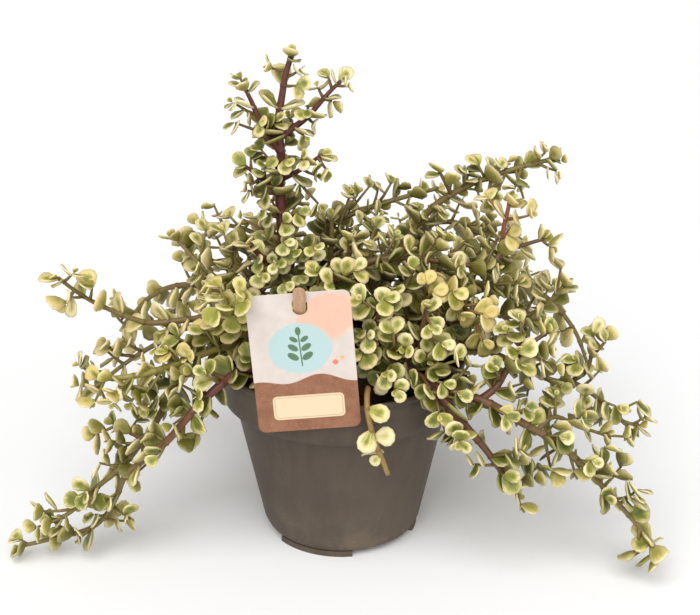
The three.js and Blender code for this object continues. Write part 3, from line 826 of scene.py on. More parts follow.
# where each stem starts and where it runs, in mm; "bare" is its length without leaves, and a shoot
# is its radii at foot and tip with its route
leafyStems = {
    "leader": {
        "foot": (-24, 8), "radii": (4.2, 1.3), "bare": 92,
        "route": [
            (-24, 8, 104), (-26, 9, 131), (-29, 10, 159), (-30, 12, 184), (-29, 12, 196), (-30, 12, 211),
            (-28, 12, 224), (-26, 11, 235), (-23, 10, 245),
        ],
        "shoots": [
            ((1.9, 0.9), [(-29, 12, 196), (-34, 10, 205), (-39, 8, 215), (-42, 7, 223), (-45, 6, 230)]),
            ((1.9, 0.9), [(-29, 12, 204), (-23, 14, 208), (-16, 16, 213), (-6, 18, 224), (0, 18, 230)]),
            ((1.5, 0.8), [(-30, 12, 178), (-38, 8, 184), (-42, 5, 189), (-46, 2, 193)]),
            ((1.5, 0.8), [(-30, 12, 182), (-20, 10, 188), (-14, 8, 193), (-9, 7, 197)]),
            ((2.6, 1.2), [(-27, 9, 137), (-33, 2, 141), (-37, -2, 146), (-41, -5, 152), (-44, -7, 157)]),
            ((1.9, 1.1), [(-24, 8, 112), (-19, 5, 123), (-16, 3, 137), (-17, 2, 150)]),
        ],
    },
    "left_high": {
        "foot": (-38, 14), "radii": (2.5, 1), "bare": 30,
        "route": [(-45, 14, 106), (-52, 14, 115), (-63, 22, 126), (-75, 30, 134), (-85, 36, 143)],
        "shoots": [
            ((1.5, 0.9), [(-52, 14, 115), (-53, 15, 130), (-53, 16, 146)]),
            ((1.7, 1), [(-45, 14, 106), (-49, 7, 118), (-56, 1, 127), (-65, -4, 132)]),
        ],
    },
    "left_back_high": {
        "foot": (-20, 36), "radii": (2.4, 1), "bare": 32,
        "route": [(-26, 37, 115), (-32, 39, 135), (-45, 46, 141), (-58, 54, 142), (-75, 60, 141)],
        "shoots": [
            ((1.7, 1), [(-26, 37, 115), (-29, 30, 124), (-31, 27, 136), (-31, 28, 149)]),
        ],
    },
    "left_long": {
        "foot": (-44, -6), "radii": (2.6, 1), "bare": 32,
        "route": [
            (-52, -7, 108), (-62, -8, 118), (-74, -12, 119), (-91, -16, 119), (-100, -18, 122),
            (-113, -20, 129), (-123, -22, 136), (-134, -25, 147),
        ],
    },
    "left_middle": {
        "foot": (-48, 4), "radii": (2.4, 1), "bare": 30,
        "route": [
            (-57, 2, 107), (-68, 0, 110), (-82, -2, 108), (-93, -6, 102), (-102, -8, 97),
            (-114, -12, 89), (-122, -15, 81),
        ],
        "shoots": [
            ((1.1, 0.8), [(-102, -8, 97), (-110, -13, 101), (-114, -16, 107)]),
        ],
    },
    "left_green": {
        "foot": (-36, -15), "radii": (2.6, 1.3), "bare": 30,
        "route": [
            (-42, -17, 104), (-49, -20, 109), (-62, -28, 110), (-72, -33, 108), (-90, -43, 106),
            (-104, -47, 105), (-114, -49, 106),
        ],
        "shoots": [
            ((1.8, 1.1), [
                (-42, -17, 104), (-45, -29, 118), (-50, -43, 134), (-50, -57, 146), (-46, -69, 154),
            ]),
            ((1.7, 1.1), [(-49, -20, 109), (-54, -27, 118), (-60, -34, 127)]),
        ],
    },
    "left_trailing_inner": {
        "foot": (-43, -17), "radii": (2.9, 1.2), "bare": 34,
        "route": [
            (-53, -17, 107), (-66, -16, 110), (-75, -20, 104), (-81, -27, 93), (-88, -34, 78),
            (-96, -38, 67), (-106, -40, 54), (-119, -42, 43), (-131, -43, 31), (-138, -44, 26),
        ],
        "shoots": [
            ((1.5, 0.9), [(-96, -38, 67), (-104, -32, 68), (-112, -28, 70)]),
        ],
    },
    "left_trailing_outer": {
        "foot": (-30, -34), "radii": (2.8, 1.1), "bare": 34,
        "route": [
            (-38, -37, 103), (-46, -39, 106), (-54, -45, 103), (-62, -51, 98), (-72, -54, 88),
            (-80, -52, 77), (-88, -50, 68), (-104, -46, 52), (-110, -42, 38), (-117, -38, 24),
            (-127, -37, 15), (-148, -41, 11), (-160, -43, 9),
        ],
        "shoots": [
            ((1.5, 0.9), [(-54, -45, 103), (-62, -47, 108), (-70, -48, 108)]),
        ],
    },
    "front_cut": {
        "foot": (13, -38), "radii": (1.5, 1.2), "bare": 51, "cut": True,
        "route": [
            (12.5, -45, 97), (12.5, -55, 103.5), (12, -63, 103), (12.5, -67.5, 97), (15, -68, 85),
            (19, -66.5, 73), (22, -64.5, 63),
        ],
    },
    "right_trailing": {
        "foot": (20, -22), "radii": (3.1, 1.1), "bare": 34,
        "route": [
            (23, -28, 98), (29, -38, 106), (38, -46.4, 104), (51, -52, 101), (63, -54, 98),
            (74, -55, 93), (85, -56, 86), (101, -56, 76), (114, -56, 64), (126, -55, 50), (137, -55, 37),
            (147, -56, 25), (153, -57, 17),
        ],
        "shoots": [
            ((2.8, 1.1), [
                (38, -46.4, 104), (47, -53, 98), (57, -58, 87), (68, -60, 74), (76, -61, 62),
                (84, -61, 51),
            ]),
            ((2, 1), [(65, -54, 97), (73, -50, 102), (79, -48, 112), (90, -45, 123), (96, -44, 127)]),
            ((1.6, 1), [(33, -42, 105.5), (38, -52, 108), (41, -60, 106)]),
            ((1.4, 0.8), [(92, -56, 81.5), (101, -50, 86), (112, -48, 80), (126, -46, 74)]),
            ((1.8, 1.1), [(22, -26, 95), (16, -31, 110), (16, -37, 126), (19, -42, 141)]),
            ((1.8, 1.1), [(29, -38, 106), (34, -38, 116), (38, -39, 127), (40, -40, 138)]),
            ((1.6, 1.1), [(24, -30, 100), (25, -40, 109), (25, -48, 120)]),
            ((1.7, 1.1), [(38, -46.4, 104), (48, -39, 107), (60, -38, 101)]),
        ],
    },
    "right_middle": {
        "foot": (30, -2), "radii": (2.8, 1), "bare": 30,
        "route": [
            (38, -2, 104), (49, -2, 110), (64, -10, 105), (76, -14, 101), (90, -17, 95), (103, -18, 89),
            (115, -18, 87), (125, -20, 81), (138, -22, 69), (147, -24, 67),
        ],
        "shoots": [
            ((1.5, 0.8), [(112, -18, 87.5), (121, -14, 93), (123, -12, 106), (123, -11, 112)]),
            ((1.9, 1.1), [(38, -2, 104), (33, -9, 118), (30, -16, 134), (34, -23, 150)]),
            ((1.7, 1.1), [(49, -2, 110), (58, -12, 119), (68, -19, 122), (78, -24, 116)]),
        ],
    },
    "right_upturned": {
        "foot": (35, 14), "radii": (2.6, 1), "bare": 30,
        "route": [
            (45, 14, 106), (56, 14, 116), (68, 13, 115), (80, 12, 110), (93, 12, 110), (102, 12, 116),
            (109, 12, 124), (111, 12, 128),
        ],
        "shoots": [
            ((1.8, 1.1), [(45, 14, 106), (45, 17, 121), (51, 19, 136), (63, 20, 148)]),
            ((1.7, 1.1), [(56, 14, 116), (64, 8, 126), (74, 3, 131), (87, 0, 133)]),
        ],
    },
    "arching_right": {
        "foot": (-6, -12), "radii": (3, 1.3), "bare": 40,
        "route": [
            (-11, -8, 112), (-11, -6, 127), (-6, -8, 136), (4, -9, 143), (15, -10, 149), (30, -10, 151),
            (47, -8, 148), (62, -6, 145), (71, -5, 141),
        ],
        "shoots": [
            ((1.8, 1), [(62, -6, 145), (73, -3, 145), (78, 0, 149), (90, 4, 152), (99, 6, 154)]),
            ((1.4, 1.1), [(78, 0, 149), (78, -2, 162), (79, -4, 170), (80, -6, 178)]),
            ((1.9, 1.1), [(-11, -8, 112), (-4, -3, 126), (3, 1, 141), (4, 1, 156)]),
        ],
    },
    "back_middle": {
        "foot": (-2, 32), "radii": (2.8, 1.1), "bare": 36,
        "route": [
            (-6, 35, 118), (-9, 38, 144), (1, 42, 151), (17, 46, 156), (31, 50, 159), (50, 56, 162),
        ],
        "shoots": [
            ((1.8, 1.1), [(-6, 35, 118), (-6, 28, 130), (-5, 26, 144), (-5, 28, 157)]),
        ],
    },
    "right_high": {
        "foot": (16, 30), "radii": (3, 1.2), "bare": 36,
        "route": [
            (20, 32, 110), (28, 34, 130), (36, 36, 146), (47, 36, 160), (62, 36, 170), (75, 37, 175),
            (87, 38, 179), (105, 38, 184),
        ],
        "shoots": [
            ((1.4, 0.8), [(55, 36, 166), (52, 32, 173), (48, 30, 181)]),
            ((1.8, 1.1), [(20, 32, 110), (14, 26, 123), (13, 24, 138), (17, 27, 152)]),
        ],
    },
    "right_back_high": {
        "foot": (25, 38), "radii": (2.5, 1), "bare": 34,
        "route": [
            (31, 46, 114), (37, 54, 132), (46, 60, 140), (60, 66, 139), (74, 70, 131), (96, 72, 127),
        ],
    },
    "cream": {
        "foot": (26, -11), "radii": (2, 0.9), "bare": 34,
        "route": [(34, -15, 112), (41, -18, 134), (49, -23, 140), (56, -27, 135), (64, -33, 126)],
    },
    "back_01": {
        "foot": (34, 26), "radii": (2.5, 1), "bare": 30,
        "route": [
            (42, 34, 108), (54, 46, 122), (70, 60, 124), (86, 72, 112), (98, 80, 92), (106, 84, 72),
        ],
    },
    "back_02": {
        "foot": (13, 42), "radii": (2.5, 1), "bare": 30,
        "route": [(19, 50, 110), (28, 68, 122), (37, 88, 118), (43, 104, 98), (47, 112, 76)],
    },
    "back_03": {
        "foot": (1, 44), "radii": (2.6, 1), "bare": 30,
        "route": [(0, 54, 110), (-2, 74, 120), (-6, 96, 108), (-8, 110, 86), (-10, 118, 62)],
    },
    "back_04": {
        "foot": (-12, 43), "radii": (2.4, 1), "bare": 30,
        "route": [(-17, 52, 110), (-26, 72, 121), (-36, 90, 112), (-43, 102, 92), (-47, 108, 72)],
    },
    "back_05": {
        "foot": (-32, 29), "radii": (2.5, 1), "bare": 30,
        "route": [(-41, 38, 109), (-56, 54, 121), (-74, 69, 112), (-88, 79, 92), (-96, 83, 70)],
    },
    "back_06": {
        "foot": (-43, 23), "radii": (2.4, 1), "bare": 30,
        "route": [(-54, 28, 106), (-74, 38, 115), (-96, 46, 108), (-112, 51, 90), (-120, 54, 68)],
    },
    "back_07": {
        "foot": (44, 19), "radii": (2.4, 1), "bare": 30,
        "route": [
            (53, 23, 107), (66, 28, 115), (86, 34, 120), (106, 39, 108), (122, 42, 88), (131, 44, 66),
        ],
    },
}


def makeDraw(seed):
    state = [7919 * seed]
    factor, limit = 16807, 2147483647

    def draw():
        state[0] = (state[0] * factor) % limit
        return state[0] / limit

    return draw


class Route:
    # a smooth curve through points, read by its share of the length
    def __init__(self, points):
        self.points = [Vector(point) for point in points]
        self.steps = 200
        marks = [self.at(step / self.steps) for step in range(self.steps + 1)]
        self.lengths = [0.0]
        for before, after in zip(marks, marks[1:]):
            self.lengths.append(self.lengths[-1] + (after - before).length)
        self.length = self.lengths[-1]

    def at(self, share):
        points, last = self.points, len(self.points) - 1
        place = share * last
        index = min(int(place), last - 1)
        part = place - index
        start, end = points[index], points[index + 1]
        before = points[index - 1] if index > 0 else 2 * start - end
        after = points[index + 2] if index + 2 <= last else 2 * end - start
        leaving, arriving = (end - before) * 0.5, (after - start) * 0.5
        bend = 2 * start - 2 * end + leaving + arriving
        swing = -3 * start + 3 * end - 2 * leaving - arriving
        return start + leaving * part + swing * part * part + bend * part * part * part

    def shareAt(self, share):
        reach = share * self.length
        index = min(max(bisect.bisect_right(self.lengths, reach) - 1, 0), self.steps - 1)
        span = self.lengths[index + 1] - self.lengths[index]
        return (index + (reach - self.lengths[index]) / span) / self.steps

    def place(self, share):
        return self.at(self.shareAt(share))

    def along(self, share):
        middle = self.shareAt(share)
        nudge = 0.0001
        low, high = max(middle - nudge, 0), min(middle + nudge, 1)
        return (self.at(high) - self.at(low)).normalized()


def smoothStep(value, low, high):
    part = min(max((value - low) / (high - low), 0), 1)
    return part * part * (3 - 2 * part)


def blend(start, end, share):
    return start + (end - start) * share


def frameAt(limb, share):
    along = limb["route"].along(share)
    across = (limb["side"] - along * limb["side"].dot(along)).normalized()
    return limb["route"].place(share), along, across, along.cross(across)


def leafPairs(limb, draw):
    # stations along a limb, with the turn, spread and sizes of the two leaves there
    length = limb["route"].length
    stations, reached = [], limb["bare"]
    while reached < length - growth["pitch"] * growth["lastPitch"]:
        stations.append(reached)
        reached += growth["pitch"] * (growth["least"] + growth["chance"] * draw())
    if not limb["cut"]:
        stations.append(length - growth["tipBack"])
    pairs = []
    for index, station in enumerate(stations):
        nearTip = smoothStep(station, length - growth["tipRun"], length)
        turn = index * growth["turn"] + growth["firstTurn"] + (draw() - 0.5) * growth["turnSway"]
        spread = blend(growth["spread"], growth["tipSpread"], nearTip)
        spread += (draw() - 0.5) * growth["spreadSway"]
        shrink = 1 - growth["tipShrink"] * nearTip
        sizes = [(growth["least"] + growth["chance"] * draw()) * shrink for _ in range(2)]
        pairs.append({
            "share": min(station / length, 1), "station": station, "nearTip": nearTip, "turn": turn,
            "spread": spread, "sizes": sizes, "last": index == len(stations) - 1,
        })
    return pairs


def leafBasis(place, along, across, over, turn, spread, facing):
    heading, lean = math.radians(turn), math.radians(spread)
    out = across * math.cos(heading) + over * math.sin(heading)
    reach = out * math.sin(lean) + along * math.cos(lean)
    face = facing - reach * facing.dot(reach)
    if face.length < 0.05:
        face = along - reach * along.dot(reach)
    face.normalize()
    side = face.cross(reach)
    return Matrix((
        (reach.x, side.x, face.x, place.x),
        (reach.y, side.y, face.y, place.y),
        (reach.z, side.z, face.z, place.z),
        (0, 0, 0, 1),
    ))


def makeLimb(points, radii, bare, cut=False, main=False):
    first, last = Vector(points[0]), Vector(points[-1])
    across = last - first
    side = Vector((-across.y, across.x, 0)).normalized()
    return {
        "route": Route(points), "radii": radii, "bare": bare, "cut": cut, "main": main, "side": side,
    }


def limbsOf(stem):
    foot = [(*stem["foot"], growth["rootDepth"]), (*stem["foot"], growth["aboveSoil"])]
    main = makeLimb(foot + stem["route"], stem["radii"], stem["bare"], stem.get("cut", False), True)
    shoots = stem.get("shoots", [])
    return [main] + [makeLimb(route, radii, growth["shootBare"]) for radii, route in shoots]


def nodeOf(name):
    return "leafy_stem_" + name


# the leaf, modelled once in a few forms

leafLook = {
    "segments": 12,
    "rings": 5,
    "ball": 0.5257,  # its widest ring is then 1 across
    # width across, thickness, how far the sides lift, how far the tip drops
    "forms": [
        (0.94, 0.22, 0.05, 0.02),
        (0.86, 0.24, 0.07, 0.05),
        (1.02, 0.20, 0.03, -0.03),
        (0.90, 0.23, 0.10, 0.0),
        (0.80, 0.26, 0.04, 0.07),
    ],
    # from root to tip: up to this share of the length, the width is scaled by so much
    "outline": [
        (0.10, 0.5), (0.24, 0.6), (0.30, 0.68), (0.40, 0.82), (0.60, 0.94), (0.70, 1.04),
        (0.80, 1.07), (0.97, 1.12),
    ],
    "hollow": 0.5,
}


def modelLeaf(index, form):
    width, thickness, lift, drop = form
    deselectAll()
    bpy.ops.mesh.primitive_uv_sphere_add(
        segments=leafLook["segments"], ring_count=leafLook["rings"], radius=leafLook["ball"]
    )
    blade = bpy.context.object
    blade.name = "leaf_form_%d" % index
    edgeMarks = [min(math.hypot(vert.co.x, vert.co.y) / 0.5, 1) for vert in blade.data.vertices]
    editMode()
    selectAll()
    stretch(1, width, thickness)
    slide(0.5, 0, 0)
    low = -0.01
    for high, factor in leafLook["outline"]:
        pickVerts(lambda place: low < place.x <= high)
        stretch(1, factor, 1)
        low = high
    # the upper face is hollowed, its middle moves towards the tip
    pickVerts(lambda place: place.z > thickness * 0.3)
    stretch(1, 1, leafLook["hollow"])
    pickVerts(lambda place: abs(place.y) < 0.02 and 0.45 < place.x < 0.55 and place.z > 0)
    slide(0.06, 0, -0.5 * thickness * leafLook["hollow"])
    pickVerts(lambda place: abs(place.y) < 0.02 and 0.1 < place.x < 0.3 and place.z > 0)
    slide(0, 0, -0.3 * thickness * leafLook["hollow"])
    for side in (-1, 1):
        pickVerts(lambda place: place.y * side > width * 0.3)
        slide(0, 0, lift)
    pickVerts(lambda place: place.x > 0.86)
    slide(0, 0, -drop)
    faceOutwards()
    objectMode()
    bpy.ops.object.shade_smooth()
    markLeaf(blade, width, edgeMarks)
    return blade


def markLeaf(blade, width, edgeMarks):
    # where a point lies on the leaf, for its pattern, and a flat map with both faces side by side
    mesh = blade.data
    clearMaps(mesh)
    chart = mesh.uv_layers.new(name="leafMap")
    flat = mesh.uv_layers.new(name="OFBake")
    for face in mesh.polygons:
        rim = abs(face.normal.z) < 0.6
        upper = rim or face.normal.z > 0
        middle = 0.25 if upper else 0.75
        for number in face.loop_indices:
            place = mesh.vertices[mesh.loops[number].vertex_index].co
            across = place.y / width
            grow = 1.12 if rim and place.z < face.center.z else 1.0
            chart.data[number].uv = (place.x, across + (0.5 if upper else 2.5))
            flat.data[number].uv = (middle + 0.42 * grow * across, 0.5 + 0.84 * grow * (place.x - 0.5))
    edge = mesh.attributes.new("leafEdge", "FLOAT", "POINT")
    edge.data.foreach_set("value", edgeMarks)
    mesh.attributes.new("leafTone", "FLOAT_COLOR", "POINT")
    # room for each leaf's painted shade
    mesh.attributes.new("paintedLeafShade", "FLOAT", "POINT")


leafForms = [modelLeaf(index, form) for index, form in enumerate(leafLook["forms"])]
leafVerts = [[vert.co.copy() for vert in blade.data.vertices] for blade in leafForms]
leafFaces = [[list(face.vertices) for face in blade.data.polygons] for blade in leafForms]


# which leaves there are, and what keeps them apart

crownLook = {
    "spurLength": (5, 15),
    "shortSpurs": (4, 9),
    "shortSize": 0.84,
    "shortOn": ("leader", "right_high", "back_middle"),
    "innerLength": (8, 22),
    "innerPitch": 9,
    "innerFrom": 26,
    "innerAbove": 97,
    # the heart of a tip: distance from the tip, spread, size and turn of its pairs
    "heart": ((1.6, 66, 0.8, 0), (-1.2, 40, 0.5, 0), (-2.2, 18, 0.34, 90)),
    "faceFrom": (25, 65),
    "tries": (0, 25, -25, 50, -50),
    "apart": 3.0,
    "near": 12,
    "leafMiddle": 0.55,
    "floorGap": 0.6,
    "shadowReach": 40,
    "shadowStart": 2.2,
    "sky": ((45, 6), (75, 6)),  # how far from upright, and how many rays
}
# where leaves keep clear of the pot: its wall below the rim, then the rim, as radii and heights
potRoom = {
    "wallFoot": (40.5, 7),
    "wallSlope": 0.21,
    "wallTop": 75,
    "rimSide": 61.6,
    "rimLow": 85,
    "rimTop": 98.2,
    "lip": (57.2, 63.2),
    "gap": 0.6,
}
# half the width, the lowest and the highest place, and how far off: touching, and passing through
cardRoom = {"touch": (25, -1, 70, 1.2), "pass": (26, -2, 71)}

photoSize = (700, 615)
eye = Vector(studio["cameraPlace"]) / mm


# the place in mm of a point picked on the photo: its pixels across and down, and how far
# back it lies, which is a guess
def seen(across, down, back):
    zoom = studio["lens"] / studio["sensor"] * photoSize[0]
    sight = Vector(((across - photoSize[0] / 2) / zoom, (photoSize[1] / 2 - down) / zoom, -1))
    sight.rotate(Euler((math.radians(90 - studio["cameraPitch"]), 0, 0)))
    place = eye + sight * ((back - eye.y) / sight.y)
    return tuple(round(value) for value in place)


# sprigs that fill the crown: limb, how far along it, where the sprig ends, size of its leaves
sprigs = {
    "right_trailing": [
        (1, 0.15, seen(455, 437, -60)), (1, 0.35, seen(466, 440, -62)),
        (2, 0.3, seen(497, 372, -56)), (4, 0.3, seen(556, 398, -50)), (5, 0.9, (10, -50, 146)),
        (5, 0.7, (9, -52, 138)), (5, 0.6, (12, -51, 129)), (5, 0.35, (10, -51, 121)),
        (5, 0.5, (16, -53, 122)), (5, 0.95, (20, -50, 147)), (7, 1.0, (24, -55, 132)),
        (7, 0.7, (21, -56, 113)), (7, 0.5, (25, -58, 105)), (4, 0.4, (33, -59, 107)),
        (0, 0.2, (47, -58, 108)), (6, 0.6, (46, -54, 127)), (6, 0.95, (41, -54, 136)),
        (0, 0.22, (53, -57, 119)), (7, 0.3, (17, -50, 106)), (6, 0.3, (40, -50, 116)),
        (6, 0.45, (30, -50, 122)), (2, 0.8, seen(521, 325, -46)), (2, 0.7, seen(507, 333, -50)),
        (2, 0.6, seen(519, 352, -52)), (2, 0.75, seen(548, 351, -48)),
        (2, 0.7, seen(556, 366, -50)), (1, 0.1, seen(446, 432, -58)),
        (1, 0.75, seen(475, 464, -62)), (1, 0.9, seen(533, 479, -60)),
        (1, 0.97, seen(521, 505, -60)), (1, 0.95, seen(538, 468, -58)),
        (0, 0.58, seen(552, 471, -56)), (0, 0.66, seen(574, 470, -56)),
        (0, 0.72, seen(606, 446, -52)), (0, 0.85, seen(636, 490, -54)),
        (4, 0.9, seen(624, 437, -48)), (0, 0.98, seen(650, 541, -57), 1.25),
        (0, 0.96, (152, -60, 15), 1.2), (0, 0.93, (145, -57, 15), 1.15),
    ],
    "leader": [
        (0, 0.66, seen(262, 150, 5)), (3, 0.8, seen(250, 158, 4)), (3, 0.4, seen(266, 168, 3)),
        (4, 0.3, seen(318, 203, 4)), (0, 0.42, (-27, -13, 160)), (6, 0.95, (-22, -14, 156)),
        (6, 0.85, (-13, -13, 158)), (6, 0.7, (-19, -16, 144)), (5, 0.3, (-31, -16, 151)),
        (5, 0.15, (-27, -18, 141)), (5, 0.5, (-38, -18, 146)), (6, 0.4, (-24, -16, 133)),
        (1, 0.9, seen(240, 77, 6)), (1, 0.8, seen(231, 82, 5)), (1, 0.6, seen(234, 104, 5)),
        (1, 0.35, seen(236, 122, 6)), (0, 0.93, seen(298, 71, 10)), (0, 0.95, seen(270, 68, 12)),
        (2, 0.92, seen(347, 87, 16)), (2, 0.85, seen(329, 77, 17)), (0, 0.84, seen(299, 104, 8)),
        (2, 0.4, seen(313, 124, 14)), (4, 0.5, seen(315, 174, 6)), (4, 0.9, seen(326, 170, 5)),
        (0, 0.6, seen(264, 193, 4)), (0, 0.59, seen(247, 190, 6)), (0, 0.53, seen(297, 214, 2)),
        (0, 0.5, seen(283, 222, 0)), (3, 0.5, seen(250, 185, 5)), (0, 0.68, seen(284, 160, 4)),
        (0, 0.76, seen(268, 128, 6)),
    ],
    "arching_right": [
        (0, 0.78, seen(446, 241, -4)), (0, 0.3, (-11, -21, 147)), (0, 0.35, (-4, -22, 142)),
        (0, 0.25, (-12, -24, 133)), (0, 0.45, (6, -24, 150)), (1, 0.97, seen(548, 246, 4)),
    ],
    "cream": [
        (0, 0.62, (43, -28, 141)), (0, 0.7, (52, -32, 143)), (0, 0.8, (56, -36, 133)),
        (0, 0.9, (66, -38, 134)), (0, 1.0, (66, -42, 122)),
    ],
    "left_high": [
        (0, 0.8, seen(205, 232, 26)), (1, 0.7, seen(223, 232, 14)),
    ],
    "left_middle": [
        (0, 0.97, seen(79, 386, -16)), (0, 0.9, seen(88, 372, -14)),
    ],
    "left_long": [
        (0, 0.97, seen(72, 274, -24)), (0, 0.92, seen(66, 303, -24)), (0, 0.85, seen(92, 288, -24)),
    ],
    "left_green": [
        (0, 0.72, seen(146, 392, -46)), (0, 0.8, seen(132, 402, -48)),
        (0, 0.9, seen(114, 402, -50)), (0, 0.97, seen(94, 402, -50)), (0, 0.6, seen(150, 410, -46)),
    ],
    "left_trailing_inner": [
        (0, 0.66, seen(112, 441, -38)), (0, 0.62, seen(126, 447, -38)),
        (1, 0.9, seen(98, 433, -28)), (1, 0.5, seen(137, 421, -30)), (0, 0.95, seen(43, 511, -44)),
        (0, 0.98, seen(37, 526, -44)), (0, 0.75, seen(100, 462, -40)),
    ],
    "left_trailing_outer": [
        (0, 0.3, seen(193, 440, -52)), (0, 0.28, seen(172, 424, -56)),
        (0, 0.78, seen(124, 521, -37)), (0, 0.98, seen(21, 540, -43)),
        (0, 0.45, seen(140, 470, -44)),
    ],
    "back_middle": [
        (0, 0.42, seen(362, 222, 30)), (0, 0.44, seen(372, 233, 30)), (0, 0.4, seen(356, 238, 28)),
        (0, 0.55, seen(387, 238, 30)), (0, 0.5, seen(378, 216, 34)), (0, 0.5, seen(358, 194, 38)),
        (0, 0.42, seen(350, 196, 36)), (0, 0.75, seen(392, 184, 44)), (0, 0.68, seen(381, 190, 44)),
        (0, 0.6, seen(370, 186, 42)), (0, 0.9, seen(420, 190, 50)),
    ],
    "right_high": [
        (0, 0.78, seen(478, 166, 34)), (0, 0.7, seen(467, 174, 32)), (0, 0.85, seen(497, 192, 30)),
        (0, 0.8, seen(487, 200, 28)), (0, 0.9, seen(514, 190, 32)), (0, 0.88, seen(523, 199, 32)),
        (0, 0.95, seen(556, 172, 34)), (0, 0.93, seen(545, 152, 36)), (0, 0.97, seen(561, 160, 38)),
        (0, 0.5, seen(440, 212, 28)),
    ],
    "right_back_high": [
        (0, 0.6, seen(446, 232, 56)),
    ],
    "right_middle": [
        (0, 0.74, seen(568, 388, -24)), (0, 0.8, seen(585, 396, -24)),
        (1, 0.3, seen(577, 362, -18)), (0, 0.93, seen(634, 431, -24)),
        (0, 0.98, seen(643, 418, -24)), (0, 0.6, seen(528, 396, -22)),
        (0, 0.85, seen(601, 417, -22)),
    ],
}
# single leaves, given one by one: how far along the main stem they sit and where their tips are
handLeaves = {
    "front_cut": [
        (0.62, (17, -72, 107)), (0.73, (8, -71, 91)), (0.74, (25, -70, 87)), (0.82, (16, -70, 67)),
        (0.86, (14, -69, 71)),
    ],
}
# daylight between the stems: where it is on the photo, and its radius in mm
gaps = [
    ((160, 259), 5), ((150, 305), 3), ((511, 140), 8), ((219, 202), 4), ((253, 206), 5),
    ((174, 277), 10), ((133, 286), 8), ((152, 262), 4), ((110, 329), 8), ((333, 192), 4),
    ((541, 262), 6), ((590, 300), 8), ((572, 318), 6), ((615, 352), 9), ((628, 394), 8),
    ((583, 445), 6), ((640, 466), 6), ((668, 507), 8), ((612, 513), 6), ((92, 460), 6),
    ((163, 458), 6), ((57, 487), 5), ((84, 547), 4), ((457, 456), 4), ((434, 157), 4),
    ((600, 378), 5), ((80, 372), 4), ((478, 151), 4), ((498, 155), 4), ((148, 274), 5),
    ((618, 370), 5),
]
gapSights = [(Vector(seen(*place, 0)) - eye, radius) for place, radius in gaps]

placedLeaves = {}  # rough cells of space, each with the leaves in it
cellSize = 14.0
intoCard = cardPlace().inverted()


def cellOf(place):
    return tuple(int(math.floor(value / cellSize)) for value in place)


def nearLeaves(place):
    x, y, z = cellOf(place)
    for dx in (-1, 0, 1):
        for dy in (-1, 0, 1):
            for dz in (-1, 0, 1):
                yield from placedLeaves.get((x + dx, y + dy, z + dz), ())


def insideBox(points):
    low, high = cadBox[0] / mm, cadBox[1] / mm
    for axis in range(3):
        values = [point[axis] for point in points]
        if min(values) < low[axis] or max(values) > high[axis]:
            return False
    return min(point.z for point in points) > crownLook["floorGap"]


def hitsPot(points):
    foot, footHeight = potRoom["wallFoot"]
    inner, outer = potRoom["lip"]
    for point in points:
        reach = math.hypot(point.x, point.y)
        if point.z < potRoom["rimLow"]:
            wall = foot + (point.z - footHeight) * potRoom["wallSlope"]
            if point.z >= potRoom["wallTop"]:
                wall = potRoom["rimSide"]
            if reach < wall + potRoom["gap"]:
                return True
        elif point.z < potRoom["rimTop"] and inner < reach < outer:
            return True
    return False


def hitsCard(points):
    places = [intoCard @ (point * mm) / mm for point in points]
    half, low, high, gap = cardRoom["touch"]
    for place in places:
        if abs(place.x) < half and low < place.z < high and -gap < place.y < gap:
            return True
    half, low, high = cardRoom["pass"]
    if all(abs(place.x) < half and low < place.z < high for place in places):
        return min(place.y for place in places) < 0 < max(place.y for place in places)
    return False


def inGap(middle):
    offset = middle - eye
    for sight, radius in gapSights:
        along = sight.normalized()
        beside = offset - along * offset.dot(along)
        if beside.length < radius * offset.length / sight.length:
            return True
    return False


def middleOf(basis):
    return basis @ Vector((crownLook["leafMiddle"], 0, 0))


def hasRoom(form, points, basis):
    middle = middleOf(basis)
    if not insideBox(points) or hitsPot(points) or hitsCard(points) or inGap(middle):
        return None
    near = list(nearLeaves(middle))
    if any((leaf[0] - middle).length < crownLook["apart"] for leaf in near):
        return None
    tree = BVHTree.FromPolygons(points, leafFaces[form])
    for leaf in near:
        if (leaf[0] - middle).length < crownLook["near"] and tree.overlap(leaf[1]):
            return None
    return middle, tree


def tryLeaf(found, draw, place, along, across, over, turn, spread, length, look, facing):
    form = draw.randrange(len(leafForms))
    for change in crownLook["tries"]:
        basis = leafBasis(place, along, across, over, turn + change, spread, facing)
        sized = basis @ Matrix.Diagonal((length, length, length, 1))
        points = [sized @ co for co in leafVerts[form]]
        room = hasRoom(form, points, sized)
        if room:
            placedLeaves.setdefault(cellOf(room[0]), []).append(room)
            found.append((form, sized, look))
            return


# growing the stems

wine, plum, olive, bark, straw, rust, rose, tan = (
    tint(118, 56, 54), tint(108, 62, 52), tint(128, 112, 58), tint(108, 80, 48),
    tint(156, 144, 70), tint(150, 104, 60), tint(160, 96, 80), tint(162, 130, 66),
)

